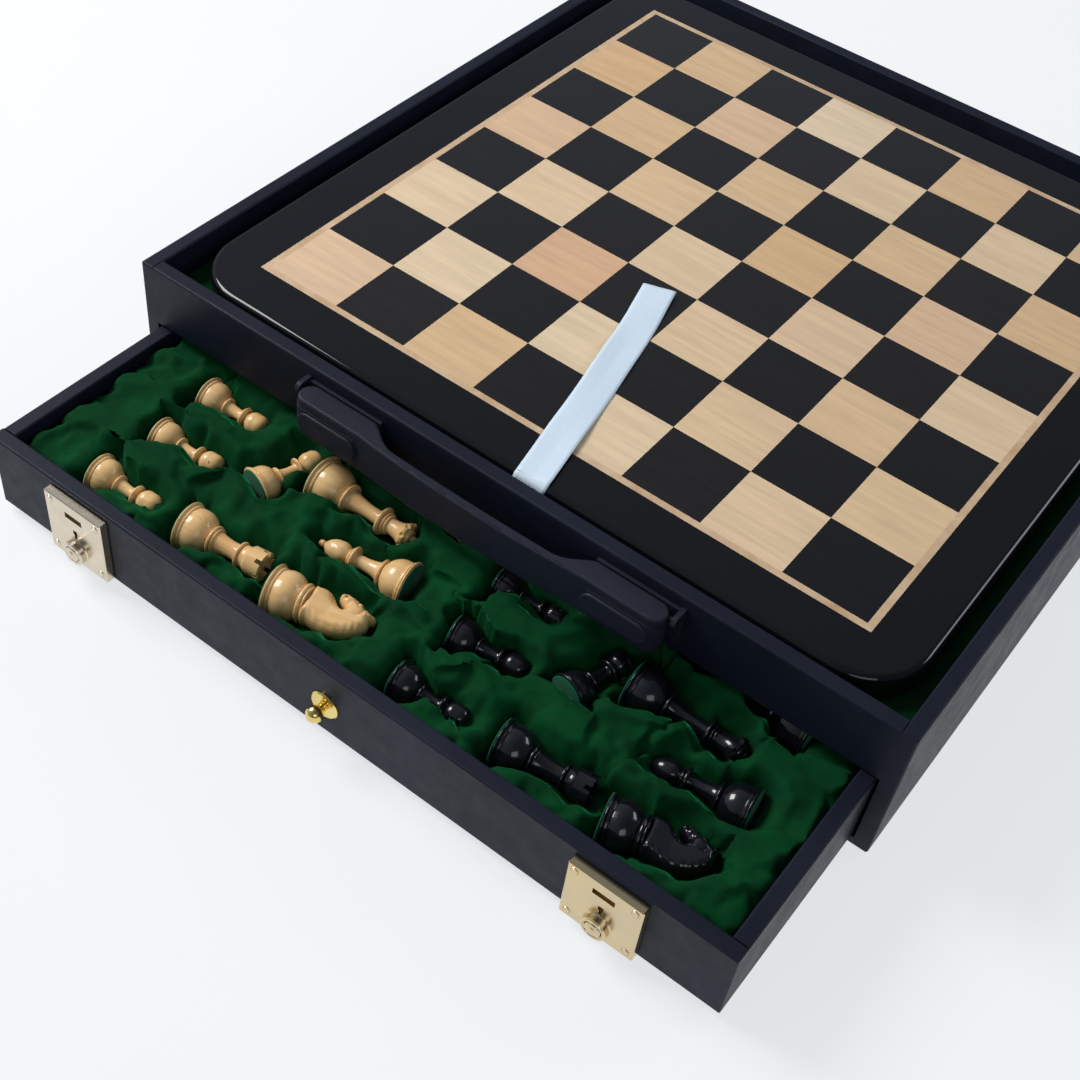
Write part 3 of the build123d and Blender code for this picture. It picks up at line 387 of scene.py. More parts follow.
PROFILES = {
    "pawn": foot_rows(14, 6, 16.6)
    + ring_rows(5.6, 6.9, 17, 19)
    + [(5, 20.2, 0), (3.9, 31, -0.6)]
    + ring_rows(4.2, 7, 31.4, 33.8)
    + [(4.5, 35.4, 0), (7.4, 42.4, 1.3), (0, 50, 3.1)],
    "rook": foot_rows(16, 8.4, 20.4)
    + ring_rows(7.8, 9.4, 20.8, 23)
    + ring_rows(7.4, 8.4, 23.2, 24.6)
    + [(7, 25.6, 0), (5.7, 40.6, -0.8)]
    + ring_rows(6.2, 8.2, 41, 43.2)
    + [(7.4, 44, 0), (9.6, 49.6, -0.8), (9.7, 60, 0)]
    + [(6.6, 60, 0), (6.6, 54.5, 0), (0, 54.5, 0)],
    "bishop": foot_rows(15.5, 7.4, 19.6)
    + ring_rows(7, 8.5, 20, 22.2)
    + [(6, 23.4, 0), (4.5, 39.4, -0.8)]
    + ring_rows(4.8, 7.8, 40, 42.6)
    + ring_rows(4.6, 5.8, 43, 44.6)
    + [(4.6, 45.2, 0), (7.1, 52.6, 1.1), (2, 62.6, 1.4)]
    + [(1.5, 63, 0), (2.2, 65, 0.5), (0, 67, 0.9)],
    "queen": foot_rows(17.5, 8.6, 23.4)
    + ring_rows(8, 10, 23.8, 26.4)
    + [(7.2, 27.6, 0), (5.1, 51.4, -1.2)]
    + ring_rows(5.6, 9.2, 52, 54.6)
    + ring_rows(5.8, 7.4, 55, 56.8)
    + ring_rows(5.4, 6.6, 57, 58.6)
    + [(5.4, 59.4, 0), (9.7, 72.2, -1.3), (9, 73.6, 0), (6, 74, 0)]
    + [(2.6, 76, 0.9), (1.9, 76.4, 0), (2.4, 77.8, 0.5), (0, 79, 0.7)],
    "king": foot_rows(18.5, 9.4, 25.4)
    + ring_rows(8.8, 10.8, 25.8, 28.6)
    + [(7.8, 29.8, 0), (5.7, 56.4, -1.3)]
    + ring_rows(6.2, 9.8, 57, 59.8)
    + ring_rows(6.2, 8, 60.2, 62)
    + ring_rows(5.8, 7, 62.2, 64)
    + [(5.8, 65, 0), (10, 77.6, -1.2), (3, 80.8, 1.4), (0, 81, 0)],
    "knight": foot_rows(16.5, 11, 20.6)
    + ring_rows(10.8, 12, 20.9, 24.2)
    + [(11.4, 24.3, 0), (10.6, 25.4, 0.6), (0, 25.4, 0)],
}

# One colour's places in a drawer: kind, x, distance behind the drawer's face, heading in degrees.
PLACES = (
    ("pawn", -221, 33, 4),
    ("pawn", -217, 81, 7),
    ("pawn", -221, 129, 3),
    ("pawn", -139.5, 88, 76),
    ("rook", -149, 38, 7),
    ("knight", -75, 35, 13),
    ("queen", -114.5, 122, 0),
    ("bishop", -13, 92, 188),
    ("king", -13, 160, 180),
)
BANK_PITCH = 246.0
PIECE_AXIS = 45.1
BED_TOP = 53.0
ARC_STEPS = 7
LATHE_STEPS = 72


def arc(start, end, sag):
    """Points after start up to end, along an arc that bulges outwards by sag."""
    start, end = Vector(start), Vector(end)
    if abs(sag) < 1e-6:
        return [end]
    chord = end - start
    side = Vector((chord.y, -chord.x)).normalized()
    return [
        start + chord * share + side * sag * 4 * share * (1 - share)
        for share in (step / ARC_STEPS for step in range(1, ARC_STEPS + 1))
    ]


def outline(rows):
    """The profile's points as (radius, height), arcs filled in."""
    points = [Vector(rows[0][:2])]
    for radius, height, sag in rows[1:]:
        points += arc(points[-1], (radius, height), sag)
    return [(max(point.x, 0.0), point.y) for point in points]


def lathe(bm, points):
    """Adds the surface that the points sweep round the Z axis, in metres."""
    rings = []
    for radius, height in points:
        if radius < 1e-4:
            rings.append([bm.verts.new((0, 0, height * MM))])
            continue
        rings.append(
            [
                bm.verts.new((radius * MM * math.cos(a), radius * MM * math.sin(a), height * MM))
                for a in (2 * math.pi * step / LATHE_STEPS for step in range(LATHE_STEPS))
            ]
        )
    for low, high in zip(rings, rings[1:]):
        for step in range(LATHE_STEPS):
            after = (step + 1) % LATHE_STEPS
            corners = ((low, step), (low, after), (high, after), (high, step))
            distinct = list(dict.fromkeys(ring[at % len(ring)] for ring, at in corners))
            if len(distinct) > 2:
                bm.faces.new(distinct)


def mesh_from(bm, name, smooth_angle=32):
    """Turns a bmesh into a mesh with smooth faces and sharp creases."""
    bmesh.ops.recalc_face_normals(bm, faces=bm.faces)
    mesh = bpy.data.meshes.new(name)
    bm.to_mesh(mesh)
    bm.free()
    mesh.polygons.foreach_set("use_smooth", [True] * len(mesh.polygons))
    mesh.set_sharp_from_angle(angle=math.radians(smooth_angle))
    return mesh


def add_object(name, mesh, material):
    obj = bpy.data.objects.new(name, mesh)
    bpy.context.scene.collection.objects.link(obj)
    if material and not mesh.materials:
        mesh.materials.append(material)
    return obj


def slab(bm, centre, size, turn=0.0, bevel=0.0):
    """Adds a box in millimetres, turned about Z, with its edges bevelled."""
    made = bmesh.ops.create_cube(bm, size=1.0)
    corners = made["verts"]
    place = (
        Matrix.Translation(Vector(centre) * MM)
        @ Matrix.Rotation(turn, 4, "Z")
        @ Matrix.Diagonal((*(side * MM for side in size), 1.0))
    )
    bmesh.ops.transform(bm, matrix=place, verts=corners)
    if bevel:
        edges = list({edge for corner in corners for edge in corner.link_edges})
        bmesh.ops.bevel(bm, geom=edges, offset=bevel * MM, segments=1, affect="EDGES")


# The knight's side view, muzzle towards +x: the neck's arch, the crest, the face and the throat.
KNIGHT_CONTROL = (
    (10.2, 24.2), (12.2, 28.2), (12.8, 33), (11.4, 37), (8.6, 39.6), (5.8, 42.6), (4.4, 45.8),
    (5.8, 46.8), (7.8, 44.6), (9.6, 41.8), (12, 40), (14.8, 40.8), (16, 44.4), (15.4, 49.6),
    (13.4, 54.8), (11, 59.4), (9.2, 62.6), (7.4, 67), (4.4, 64.6), (-0.6, 65), (-6.8, 61.8),
    (-11.8, 55.2), (-14.4, 46.6), (-14.2, 38), (-12.4, 30.4), (-10.4, 24.2),
)
KNIGHT_HALF_THICKNESS = 7.8
KNIGHT_ROUNDING = 5.5
KNIGHT_PITCH = 0.62


def spline_loop(control, steps):
    """A smooth closed line through the control points, by Catmull and Rom's rule."""
    count = len(control)
    points = []
    for index in range(count):
        a, b, c, d = (Vector(control[(index + offset) % count]) for offset in (-1, 0, 1, 2))
        for step in range(steps):
            t = step / steps
            near = 2 * b + (c - a) * t + (2 * a - 5 * b + 4 * c - d) * t * t
            points.append(0.5 * (near + (3 * b - a - 3 * c + d) * t**3))
    return points


def knight_relief(x, z, edge):
    """Half thickness of the knight at a point of its side view, edge being the distance to its outline."""
    point = Vector((x, z))

    def mark(place, size, radius, depth):
        """A ring-shaped or round cut of the carving knife."""
        return depth * max(0.0, 1 - abs((point - Vector(place)).length - radius) / size)

    thick = KNIGHT_HALF_THICKNESS + 2.2 * max(0.0, min(1.0, (40 - z) / 14))
    round_share = 1 - min(edge / KNIGHT_ROUNDING, 1.0)
    height = thick * math.sqrt(max(1 - round_share**2, 0.0))
    height *= 1 - 0.22 * max(0.0, 1 - (point - Vector((13.5, 43.0))).length / 13.0)
    in_head = x + 0.35 * z > 20.5 and z > 39.5
    if in_head:
        flat = 1 - min(edge / 3.4, 1.0)
        height = max(height, thick * 0.84 * math.sqrt(max(1 - flat**2, 0.0)))
        # The cheek, the eye, the nostril with the muzzle's groove, the mouth and the ear.
        height += mark((7.4, 53.4), 5.2, 0.0, 0.8) - mark((6.8, 53.2), 1.8, 6.0, 0.9)
        height += mark((10.6, 56.0), 2.0, 0.0, 1.0) - mark((10.6, 56.0), 1.2, 2.7, 0.8)
        height -= mark((13.2, 44.8), 1.8, 0.0, 1.0) + mark((11.2, 48.2), 1.4, 3.2, 0.6)
        if 8.6 < x < 13.6 and z < 46:
            height -= 0.9 * max(0.0, 1 - abs((z - 43.4) - 0.6 * (x - 11.0)) / 1.2)
        height -= mark((6.8, 63.0), 1.2, 1.8, 0.7)
    elif x < -3.0 and z > 28:
        strand = math.sin(1.15 * z + 0.55 * x + 1.6 * math.sin(0.21 * z))
        height -= 0.5 * max(0.0, 1 - edge / 6.5) * (0.5 + 0.5 * strand) * min(edge, 1.6)
    return max(height, 0.05) if edge > 0 else 0.0


def knight_head(bm):
    """Adds the carved head: a flat net inside the side view's outline, swelled on both sides."""
    loop = spline_loop(KNIGHT_CONTROL, 6)
    xs, zs = [p.x for p in loop], [p.y for p in loop]
    segments = [(loop[i], loop[(i + 1) % len(loop)]) for i in range(len(loop))]

    def edge_distance(point):
        nearest = 1e9
        for a, b in segments:
            along = b - a
            share = max(0.0, min(1.0, (point - a).dot(along) / along.length_squared))
            nearest = min(nearest, (a + along * share - point).length)
        return nearest

    def inside(point):
        crossings = 0
        for a, b in segments:
            if (a.y > point.y) != (b.y > point.y):
                crossings += point.x < a.x + (point.y - a.y) / (b.y - a.y) * (b.x - a.x)
        return crossings % 2 == 1

    grid = []
    for i in range(int((max(xs) - min(xs)) / KNIGHT_PITCH) + 1):
        for j in range(int((max(zs) - min(zs)) / KNIGHT_PITCH) + 1):
            point = Vector((min(xs) + i * KNIGHT_PITCH, min(zs) + j * KNIGHT_PITCH))
            if inside(point) and edge_distance(point) > 0.4 * KNIGHT_PITCH:
                grid.append(point)
    count = len(loop)
    net, _, faces, _, _, _ = geometry.delaunay_2d_cdt(
        loop + grid, [(i, (i + 1) % count) for i in range(count)], [], 1, 1e-5
    )
    reliefs = [knight_relief(p.x, p.y, 0.0 if i < count else edge_distance(p)) for i, p in enumerate(net)]
    for side in (1, -1):
        verts = [bm.verts.new((p.x * MM, side * h * MM, p.y * MM)) for p, h in zip(net, reliefs)]
        for face in faces:
            bm.faces.new([verts[i] for i in face])
    bmesh.ops.remove_doubles(bm, verts=bm.verts, dist=0.00001)


def piece_mesh(kind):
    """One upright chess piece: the turned body and what is carved on it."""
    bm = bmesh.new()
    lathe(bm, outline(PROFILES[kind]))
    height = SHAPES[kind]["height"]
    if kind == "king":
        slab(bm, (0, 0, height - 4.6), (3.2, 3.0, 9.2), bevel=0.5)
        slab(bm, (0, 0, height - 4.4), (3.0, 9.0, 3.2), bevel=0.5)
    if kind == "knight":
        knight_head(bm)
    return mesh_from(bm, f"{kind}_shape")


def cut_away(obj, cutters):
    """Cuts the cutters' shape out of obj for good."""
    bm = bmesh.new()
    for centre, size, turn in cutters:
        slab(bm, centre, size, turn)
    knife = bpy.data.objects.new("knife", bpy.data.meshes.new("knife"))
    bm.to_mesh(knife.data)
    bm.free()
    bpy.context.scene.collection.objects.link(knife)
    modifier = obj.modifiers.new("cut", "BOOLEAN")
    modifier.operation = "DIFFERENCE"
    modifier.object = knife
    modifier.solver = "EXACT"
    modifier.use_self = True
    depsgraph = bpy.context.evaluated_depsgraph_get()
    cut = bpy.data.meshes.new_from_object(obj.evaluated_get(depsgraph))
    obj.modifiers.clear()
    cut.set_sharp_from_angle(angle=math.radians(32))
    obj.data = cut
    bpy.data.objects.remove(knife)


CUTS = {
    "rook": [((0, 0, 58.2), (40.0, 2.6, 4.4), math.radians(60 * step)) for step in range(3)],
    "queen": [
        ((9.8 * math.cos(a), 9.8 * math.sin(a), 73.4), (3.4, 3.4, 5.0), a + math.radians(45))
        for a in (math.radians(45 * step) for step in range(8))
    ],
}


def upright_pieces():
    """The six kinds of mesh, each made once and copied for each of its pieces."""
    made = {}
    for kind in SHAPES:
        mesh = piece_mesh(kind)
        if kind in CUTS:
            holder = add_object(f"{kind}_cutting", mesh, None)
            cut_away(holder, CUTS[kind])
            mesh = holder.data
            bpy.data.objects.remove(holder)
        made[kind] = mesh
    return made


def felt_disc(radius):
    """The felt under a foot, with a soft rim."""
    bm = bmesh.new()
    rows = [(0.0, 0.0, 0.0), (radius - 1.2, 0.0, 0.0), (radius - 0.7, FELT, 0.25), (0.0, FELT, 0.0)]
    lathe(bm, outline(rows))
    return mesh_from(bm, "felt_shape")


def lying_matrix(drawer, kind, x, depth, heading, roll):
    """Where a piece's upright mesh goes: its foot at the place and its head along the heading."""
    along = Vector((math.cos(math.radians(heading)), math.sin(math.radians(heading)), 0))
    across = Vector((-along.y, along.x, 0))
    up = Vector((0, 0, 1))
    first = across if kind == "knight" else up
    second = along.cross(first)
    basis = Matrix((first, second, along)).transposed().to_4x4()
    local = Matrix.Translation(Vector((x, depth, PIECE_AXIS)) * MM) @ basis
    spin = Matrix.Rotation(0.0 if kind == "knight" else roll, 4, "Z")
    return drawer @ local @ spin


FRONT_DRAWER = Matrix.Translation((0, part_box("front_drawer_front")[0].y, 0))
BACK_DRAWER = Matrix.Translation((0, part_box("back_drawer_front")[1].y, 0)) @ Matrix.Rotation(math.pi, 4, "Z")


def node_of(drawer_name, shade, kind):
    if drawer_name == "back":
        return f"back_{shade}_pieces"
    return f"{shade}_{kind}" if kind in ("king", "queen") else f"{shade}_{kind}s"


def lay_pieces(drawer_name, drawer, kinds, meshes, finishes, felt_finish):
    """Lays both colours' pieces in one drawer, each with its felt, riding on the drawer."""
    felts = {kind: felt_disc(SHAPES[kind]["radius"]) for kind in kinds}
    for shade, shift in (("light", 0.0), ("dark", BANK_PITCH)):
        for number, (kind, x, depth, heading) in enumerate(PLACES):
            if kind not in kinds:
                continue
            roll = math.radians(37 * number)
            place = lying_matrix(drawer, kind, x + shift, depth, heading, roll)
            name = f"{drawer_name}_{shade}_{kind}_{number}"
            piece = add_object(name, meshes[kind].copy(), finishes[shade])
            piece.matrix_world = place
            felt_piece = add_object(f"{drawer_name}_{shade}_{kind}_felt_{number}", felts[kind], felt_finish)
            felt_piece.matrix_world = place
            wood = "boxwood" if shade == "light" else "ebonised_wood"
            for obj, slot in ((piece, wood), (felt_piece, "green_felt")):
                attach(obj, f"{drawer_name}_drawer")
            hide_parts(node_of(drawer_name, shade, kind))
            if drawer_name == "front":
                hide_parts("base_felts")


# ---- gathered velvet

VELVET_HALF_WIDTH = 266.6
VELVET_DEPTHS = (10.8, 194.2)
CLOTH_PITCH = 3.9
CLOTH_SPARE = 0.17
CLOTH_FRAMES = 26
SEED_WAVES = 14
SEED_LENGTHS = (26.0, 62.0)
SEED_HEIGHT = 1.5
CLOTH_TOP = 60.5
CLOTH_FLOOR = 15.6
CLOTH_LOW = 17.5
RIM_WIDTH = 11.0
CLOTH_GAP = 0.7
# The cloth may lap over a piece beyond this share of its height.
LAPPED_SHARE = {"pawn": 0.86, "rook": 1.02, "bishop": 0.95, "queen": 1.02, "king": 1.02, "knight": 1.02}
KNIGHT_FLAT = (0.36, 9.0)
# Half widths of each lying piece along its axis, as (share of its height, half width).
HALF_WIDTHS = {
    "pawn": ((0, 14), (0.1, 13.6), (0.22, 11.4), (0.34, 6.8), (0.5, 4.8), (0.62, 6.4), (0.85, 7.6), (1, 5)),
    "rook": ((0, 16), (0.1, 15.6), (0.22, 13), (0.36, 9.6), (0.6, 6.8), (0.72, 8.6), (0.85, 10.2), (1, 10.2)),
    "bishop": ((0, 15.5), (0.09, 15.1), (0.2, 12.4), (0.33, 8.8), (0.55, 5.4), (0.64, 8), (0.8, 7.4), (1, 3)),
    "queen": ((0, 17.5), (0.08, 17.1), (0.2, 14), (0.33, 10.4), (0.6, 6), (0.7, 9.4), (0.9, 10.2), (1, 4)),
    "king": ((0, 18.5), (0.08, 18.1), (0.2, 14.8), (0.32, 11.2), (0.6, 6.8), (0.7, 10), (0.86, 10.6), (1, 5)),
    "knight": ((0, 16.5), (0.1, 16.1), (0.22, 13.6), (0.36, 13), (0.5, 15), (0.75, 15.4), (0.9, 12), (1, 6)),
}


def smooth_step(low, high, values):
    t = np.clip((values - low) / (high - low), 0.0, 1.0)
    return t * t * (3 - 2 * t)


def lying_pieces(kinds):
    """Every piece in one drawer: its kind, its foot's place and its heading's direction."""
    for shift in (0.0, BANK_PITCH):
        for kind, x, depth, heading in PLACES:
            if kind in kinds:
                angle = math.radians(heading)
                yield kind, x + shift, depth, (math.cos(angle), math.sin(angle))


def about_piece(kind, px, pd, direction, x, depth):
    """Distances along and across a piece's axis, and its half width there."""
    dx, dy = x - px, depth - pd
    along = dx * direction[0] + dy * direction[1]
    across = dy * direction[0] - dx * direction[1]
    shares, halves = zip(*HALF_WIDTHS[kind])
    half = np.interp(np.clip(along / SHAPES[kind]["height"], 0, 1), shares, halves)
    return along, across, half


def bed_height(x, depth, kinds):
    """The padding under the cloth, in millimetres: full between the pieces and hollow under them."""
    height = BED_TOP - 1.0 + 2.2 * np.sin(x / 23 + depth / 37) * np.sin(depth / 19 - x / 61)
    for kind, px, pd, direction in lying_pieces(kinds):
        along, across, half = about_piece(kind, px, pd, direction, x, depth)
        length = SHAPES[kind]["height"]
        beyond = np.maximum(np.maximum(-along, along - length), 0)
        distance = np.hypot(beyond, np.maximum(np.abs(across) - half, 0)) - CLOTH_GAP
        thick = np.where(along > KNIGHT_FLAT[0] * length, KNIGHT_FLAT[1], half) if kind == "knight" else half
        bottom = PIECE_AXIS - thick - 2 * CLOTH_GAP
        height -= (1 - smooth_step(0.0, RIM_WIDTH, distance)) * np.maximum(height - bottom, 0)
    to_ends = np.minimum(depth - VELVET_DEPTHS[0], VELVET_DEPTHS[1] - depth)
    edge = np.minimum(VELVET_HALF_WIDTH - np.abs(x), to_ends)
    return np.maximum(height - 4.0 * (1 - smooth_step(0.0, 9.0, edge)), CLOTH_LOW)


def grid_quads(index):
    """The faces between neighbouring rows and columns of a grid's points."""
    return np.stack([index[:-1, :-1], index[:-1, 1:], index[1:, 1:], index[1:, :-1]], -1).reshape(-1, 4)


def cloth_grid(pitch):
    columns = int(2 * VELVET_HALF_WIDTH / pitch) + 1
    rows = int((VELVET_DEPTHS[1] - VELVET_DEPTHS[0]) / pitch) + 1
    x, depth = np.meshgrid(
        np.linspace(-VELVET_HALF_WIDTH, VELVET_HALF_WIDTH, columns), np.linspace(*VELVET_DEPTHS, rows)
    )
    index = np.arange(rows * columns).reshape(rows, columns)
    return x, depth, index, grid_quads(index)


def gathers(x, depth):
    """The first waves of the spare cloth: crests in all directions, a few centimetres apart."""
    draw = np.random.default_rng(11)
    height = np.zeros(x.shape)
    for _ in range(SEED_WAVES):
        turned, phase = draw.uniform(0, 2 * math.pi, 2)
        length = draw.uniform(*SEED_LENGTHS)
        height += np.sin(2 * math.pi * (x * math.cos(turned) + depth * math.sin(turned)) / length + phase)
    return SEED_HEIGHT * np.maximum(height, -0.6)


def grid_object(name, x, depth, z, quads):
    mesh = bpy.data.meshes.new(name)
    mesh.from_pydata((np.stack([x, depth, z], -1).reshape(-1, 3) * MM).tolist(), [], quads.tolist())
    return add_object(name, mesh, None)


def simulated_cloth(x, depth, z, index, quads, kinds):
    """Lets a cloth with spare length sink onto the bed, held along the walls, and gives its points."""
    bed = grid_object("bed", x, depth, bed_height(x, depth, kinds), quads)
    bed.modifiers.new("collision", "COLLISION")
    bed.collision.thickness_outer = 0.8 * MM
    bed.collision.cloth_friction = 12.0
    cloth = grid_object("cloth", x, depth, z, quads)
    rim = np.unique(np.concatenate([index[0], index[-1], index[:, 0], index[:, -1]])).tolist()
    held = cloth.vertex_groups.new(name="held")
    held.add(rim, 1.0, "REPLACE")
    modifier = cloth.modifiers.new("cloth", "CLOTH")
    settings = modifier.settings
    settings.quality = 5
    settings.mass = 0.2
    settings.tension_stiffness = settings.compression_stiffness = 25.0
    settings.shear_stiffness = 12.0
    settings.bending_stiffness = 2.5
    settings.air_damping = 2.0
    settings.shrink_min = -CLOTH_SPARE
    settings.vertex_group_mass = "held"
    modifier.collision_settings.distance_min = 0.8 * MM
    modifier.collision_settings.collision_quality = 2
    modifier.point_cache.frame_start, modifier.point_cache.frame_end = 1, CLOTH_FRAMES
    scene = bpy.context.scene
    for step in range(1, CLOTH_FRAMES + 1):
        scene.frame_set(step)
    settled = cloth.evaluated_get(bpy.context.evaluated_depsgraph_get()).data
    points = np.empty(len(settled.vertices) * 3)
    settled.vertices.foreach_get("co", points)
    scene.frame_set(1)
    bpy.data.objects.remove(cloth)
    bpy.data.objects.remove(bed)
    return points.reshape(-1, 3) / MM


def finer_grid(points, index):
    """The cloth's points on a grid of half the pitch, softened as a subdivision would."""
    net = points.reshape(*index.shape, 3)
    for axis in (0, 1):
        count = net.shape[axis]
        shape = list(net.shape)
        shape[axis] = 2 * count - 1
        fine = np.empty(shape)
        inner, before, after = (
            np.take(net, range(start, start + count - 2), axis) for start in (1, 0, 2)
        )
        softened = net.copy()
        middle = [slice(None)] * 3
        middle[axis] = slice(1, -1)
        softened[tuple(middle)] = 0.75 * inner + 0.125 * (before + after)
        even, odd = [slice(None)] * 3, [slice(None)] * 3
        even[axis], odd[axis] = slice(0, None, 2), slice(1, None, 2)
        fine[tuple(even)] = softened
        fine[tuple(odd)] = (np.take(net, range(count - 1), axis) + np.take(net, range(1, count), axis)) / 2
        net = fine
    index = np.arange(net.shape[0] * net.shape[1]).reshape(net.shape[:2])
    return net.reshape(-1, 3), index, grid_quads(index)


def clear_of_pieces(points, kinds):
    """Lowers the cloth under each piece, and pushes it out of the heads that it may lap over."""
    for kind, px, pd, direction in lying_pieces(kinds):
        along, across, half = about_piece(kind, px, pd, direction, points[:, 0], points[:, 1])
        length = SHAPES[kind]["height"]
        tall = np.ones_like(half)
        if kind == "knight":
            tall = np.where(along > KNIGHT_FLAT[0] * length, KNIGHT_FLAT[1] / half, 1.0)
        reach = half + CLOTH_GAP
        open_top = (np.abs(across) < reach) & (along > -2 * CLOTH_GAP) & (along < LAPPED_SHARE[kind] * length)
        under = PIECE_AXIS - tall * np.sqrt(np.maximum(reach**2 - across**2, 0.0))
        points[:, 2] = np.where(open_top, np.minimum(points[:, 2], under), points[:, 2])
        up = (points[:, 2] - PIECE_AXIS) / tall
        radius = np.maximum(np.hypot(across, up), 1e-3)
        inside = (radius < reach) & (along > -CLOTH_GAP) & (along < length + CLOTH_GAP)
        push = np.where(inside, reach / radius - 1, 0.0)
        points[:, 0] -= direction[1] * across * push
        points[:, 1] += direction[0] * across * push
        points[:, 2] += up * tall * push
    return points


def velvet_piece(drawer_name, drawer, kinds, finish):
    """The bed's cloth: one closed padded form with the gathered surface on top."""
    x, depth, index, quads = cloth_grid(CLOTH_PITCH)
    z = bed_height(x, depth, kinds) + 1.5 + gathers(x, depth)
    top = np.stack([x, depth, z], -1).reshape(-1, 3)
    top = simulated_cloth(x, depth, z, index, quads, kinds)
    top, index, quads = finer_grid(top, index)
    top = clear_of_pieces(top, kinds)
    top[:, 0] = np.clip(top[:, 0], -VELVET_HALF_WIDTH, VELVET_HALF_WIDTH)
    top[:, 1] = np.clip(top[:, 1], *VELVET_DEPTHS)
    top[:, 2] = np.clip(top[:, 2], CLOTH_LOW, CLOTH_TOP)
    corner_rows = [index[0, 0], index[0, -1], index[-1, -1], index[-1, 0]]
    bottom = top[corner_rows].copy()
    bottom[:, 2] = CLOTH_FLOOR
    rims = [index[0].tolist(), index[:, -1].tolist(), index[-1, ::-1].tolist(), index[::-1, 0].tolist()]
    corners = [index.size + step for step in range(4)]
    sides = [[*reversed(rim), corners[step], corners[(step + 1) % 4]] for step, rim in enumerate(rims)]
    mesh = bpy.data.meshes.new(f"{drawer_name}_velvet")
    points = (np.concatenate([top, bottom]) * MM).tolist()
    mesh.from_pydata(points, [], [*quads.tolist(), *sides, corners[::-1]])
    mesh.polygons.foreach_set("use_smooth", [True] * len(mesh.polygons))
    mesh.set_sharp_from_angle(angle=math.radians(75))
    mesh.update()
    cloth = add_object(f"{drawer_name}_gathered_velvet", mesh, finish)
    cloth.matrix_world = drawer
    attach(cloth, f"{drawer_name}_drawer")
    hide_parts(f"{drawer_name}_drawer_velvet_bed")


# ---- ribbon

RIBBON_WIDTH = 23.5
RIBBON_THICKNESS = 0.35
RIBBON_START_X = 18.4
RIBBON_LAID = ((18.4, -270.0, 0), (3.0, -190.0, 0), (-4.5, -143.0, 0), (-24.5, -72.0, 0))
RIBBON_STEPS = 100
BOARD_FRONT = -274.5
BOARD_TOP = 109.0
BOARD_BOTTOM = 90.0
RIBBON_TAB = 24.0
RIBBON_STEP = 2.0


def ribbon_path():
    """Points of the ribbon's middle line, under, round and over the board, in millimetres."""
    off = 0.3 + RIBBON_THICKNESS / 2
    low_round, high_round = 2.0, 4.5
    points = []
    tab_steps = int((RIBBON_TAB - low_round) / RIBBON_STEP)
    for step in range(tab_steps):
        points.append((RIBBON_START_X, BOARD_FRONT + RIBBON_TAB - step * RIBBON_STEP, BOARD_BOTTOM - off))
    reach = low_round + off
    for turned in range(0, 91, 15):
        a = math.radians(turned)
        depth, height = low_round - reach * math.sin(a), low_round - reach * math.cos(a)
        points.append((RIBBON_START_X, BOARD_FRONT + depth, BOARD_BOTTOM + height))
    for height in np.linspace(BOARD_BOTTOM + low_round + 2, BOARD_TOP - high_round - 1, 6):
        points.append((RIBBON_START_X, BOARD_FRONT - off, float(height)))
    reach = high_round + off
    for turned in range(0, 91, 12):
        a = math.radians(turned)
        depth, height = high_round - reach * math.cos(a), reach * math.sin(a) - high_round
        points.append((RIBBON_START_X, BOARD_FRONT + depth, BOARD_TOP + height))
    laid = geometry.interpolate_bezier(*(Vector(point) for point in RIBBON_LAID), RIBBON_STEPS)
    for step, flat in enumerate(laid[1:], 1):
        share = step / (RIBBON_STEPS - 1)
        lift = 1.3 * math.sin(share * 8.2) ** 2 * min(1.0, 5 * share)
        points.append((flat.x, flat.y, BOARD_TOP + off + lift))
    return [Vector(point) for point in points]


def lift_ribbon(finish):
    """A strip of satin with a slight cup across its width."""
    path = ribbon_path()
    across_steps = 10
    bm = bmesh.new()
    rows = []
    for index, point in enumerate(path):
        before, after = path[max(index - 1, 0)], path[min(index + 1, len(path) - 1)]
        heading = Vector((after.x - before.x, after.y - before.y, 0))
        on_top = point.z > BOARD_TOP and abs(heading.x) > 1e-6
        side = Vector((heading.y, -heading.x, 0)).normalized() if on_top else Vector((1, 0, 0))
        row = []
        for step in range(across_steps + 1):
            share = 2 * step / across_steps - 1
            tilt = 0.9 * share * math.sin(index * 0.055) if on_top else 0.0
            wave = 0.5 + 0.5 * math.sin(index * 0.11)
            cup = 0.7 * (1 - share * share) * wave + abs(tilt) if on_top else 0.0
            place = point + side * share * RIBBON_WIDTH / 2 + Vector((0, 0, cup + tilt))
            row.append(bm.verts.new(place * MM))
        rows.append(row)
    for low, high in zip(rows, rows[1:]):
        for step in range(across_steps):
            bm.faces.new((low[step], low[step + 1], high[step + 1], high[step]))
    mesh = mesh_from(bm, "ribbon", 80)
    ribbon = add_object("satin_lift_ribbon", mesh, finish)
    thick = ribbon.modifiers.new("thickness", "SOLIDIFY")
    thick.thickness = RIBBON_THICKNESS * MM
    thick.offset = 0.0
    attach(ribbon, "board")
    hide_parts("lift_ribbon")


# ---- latches and handle

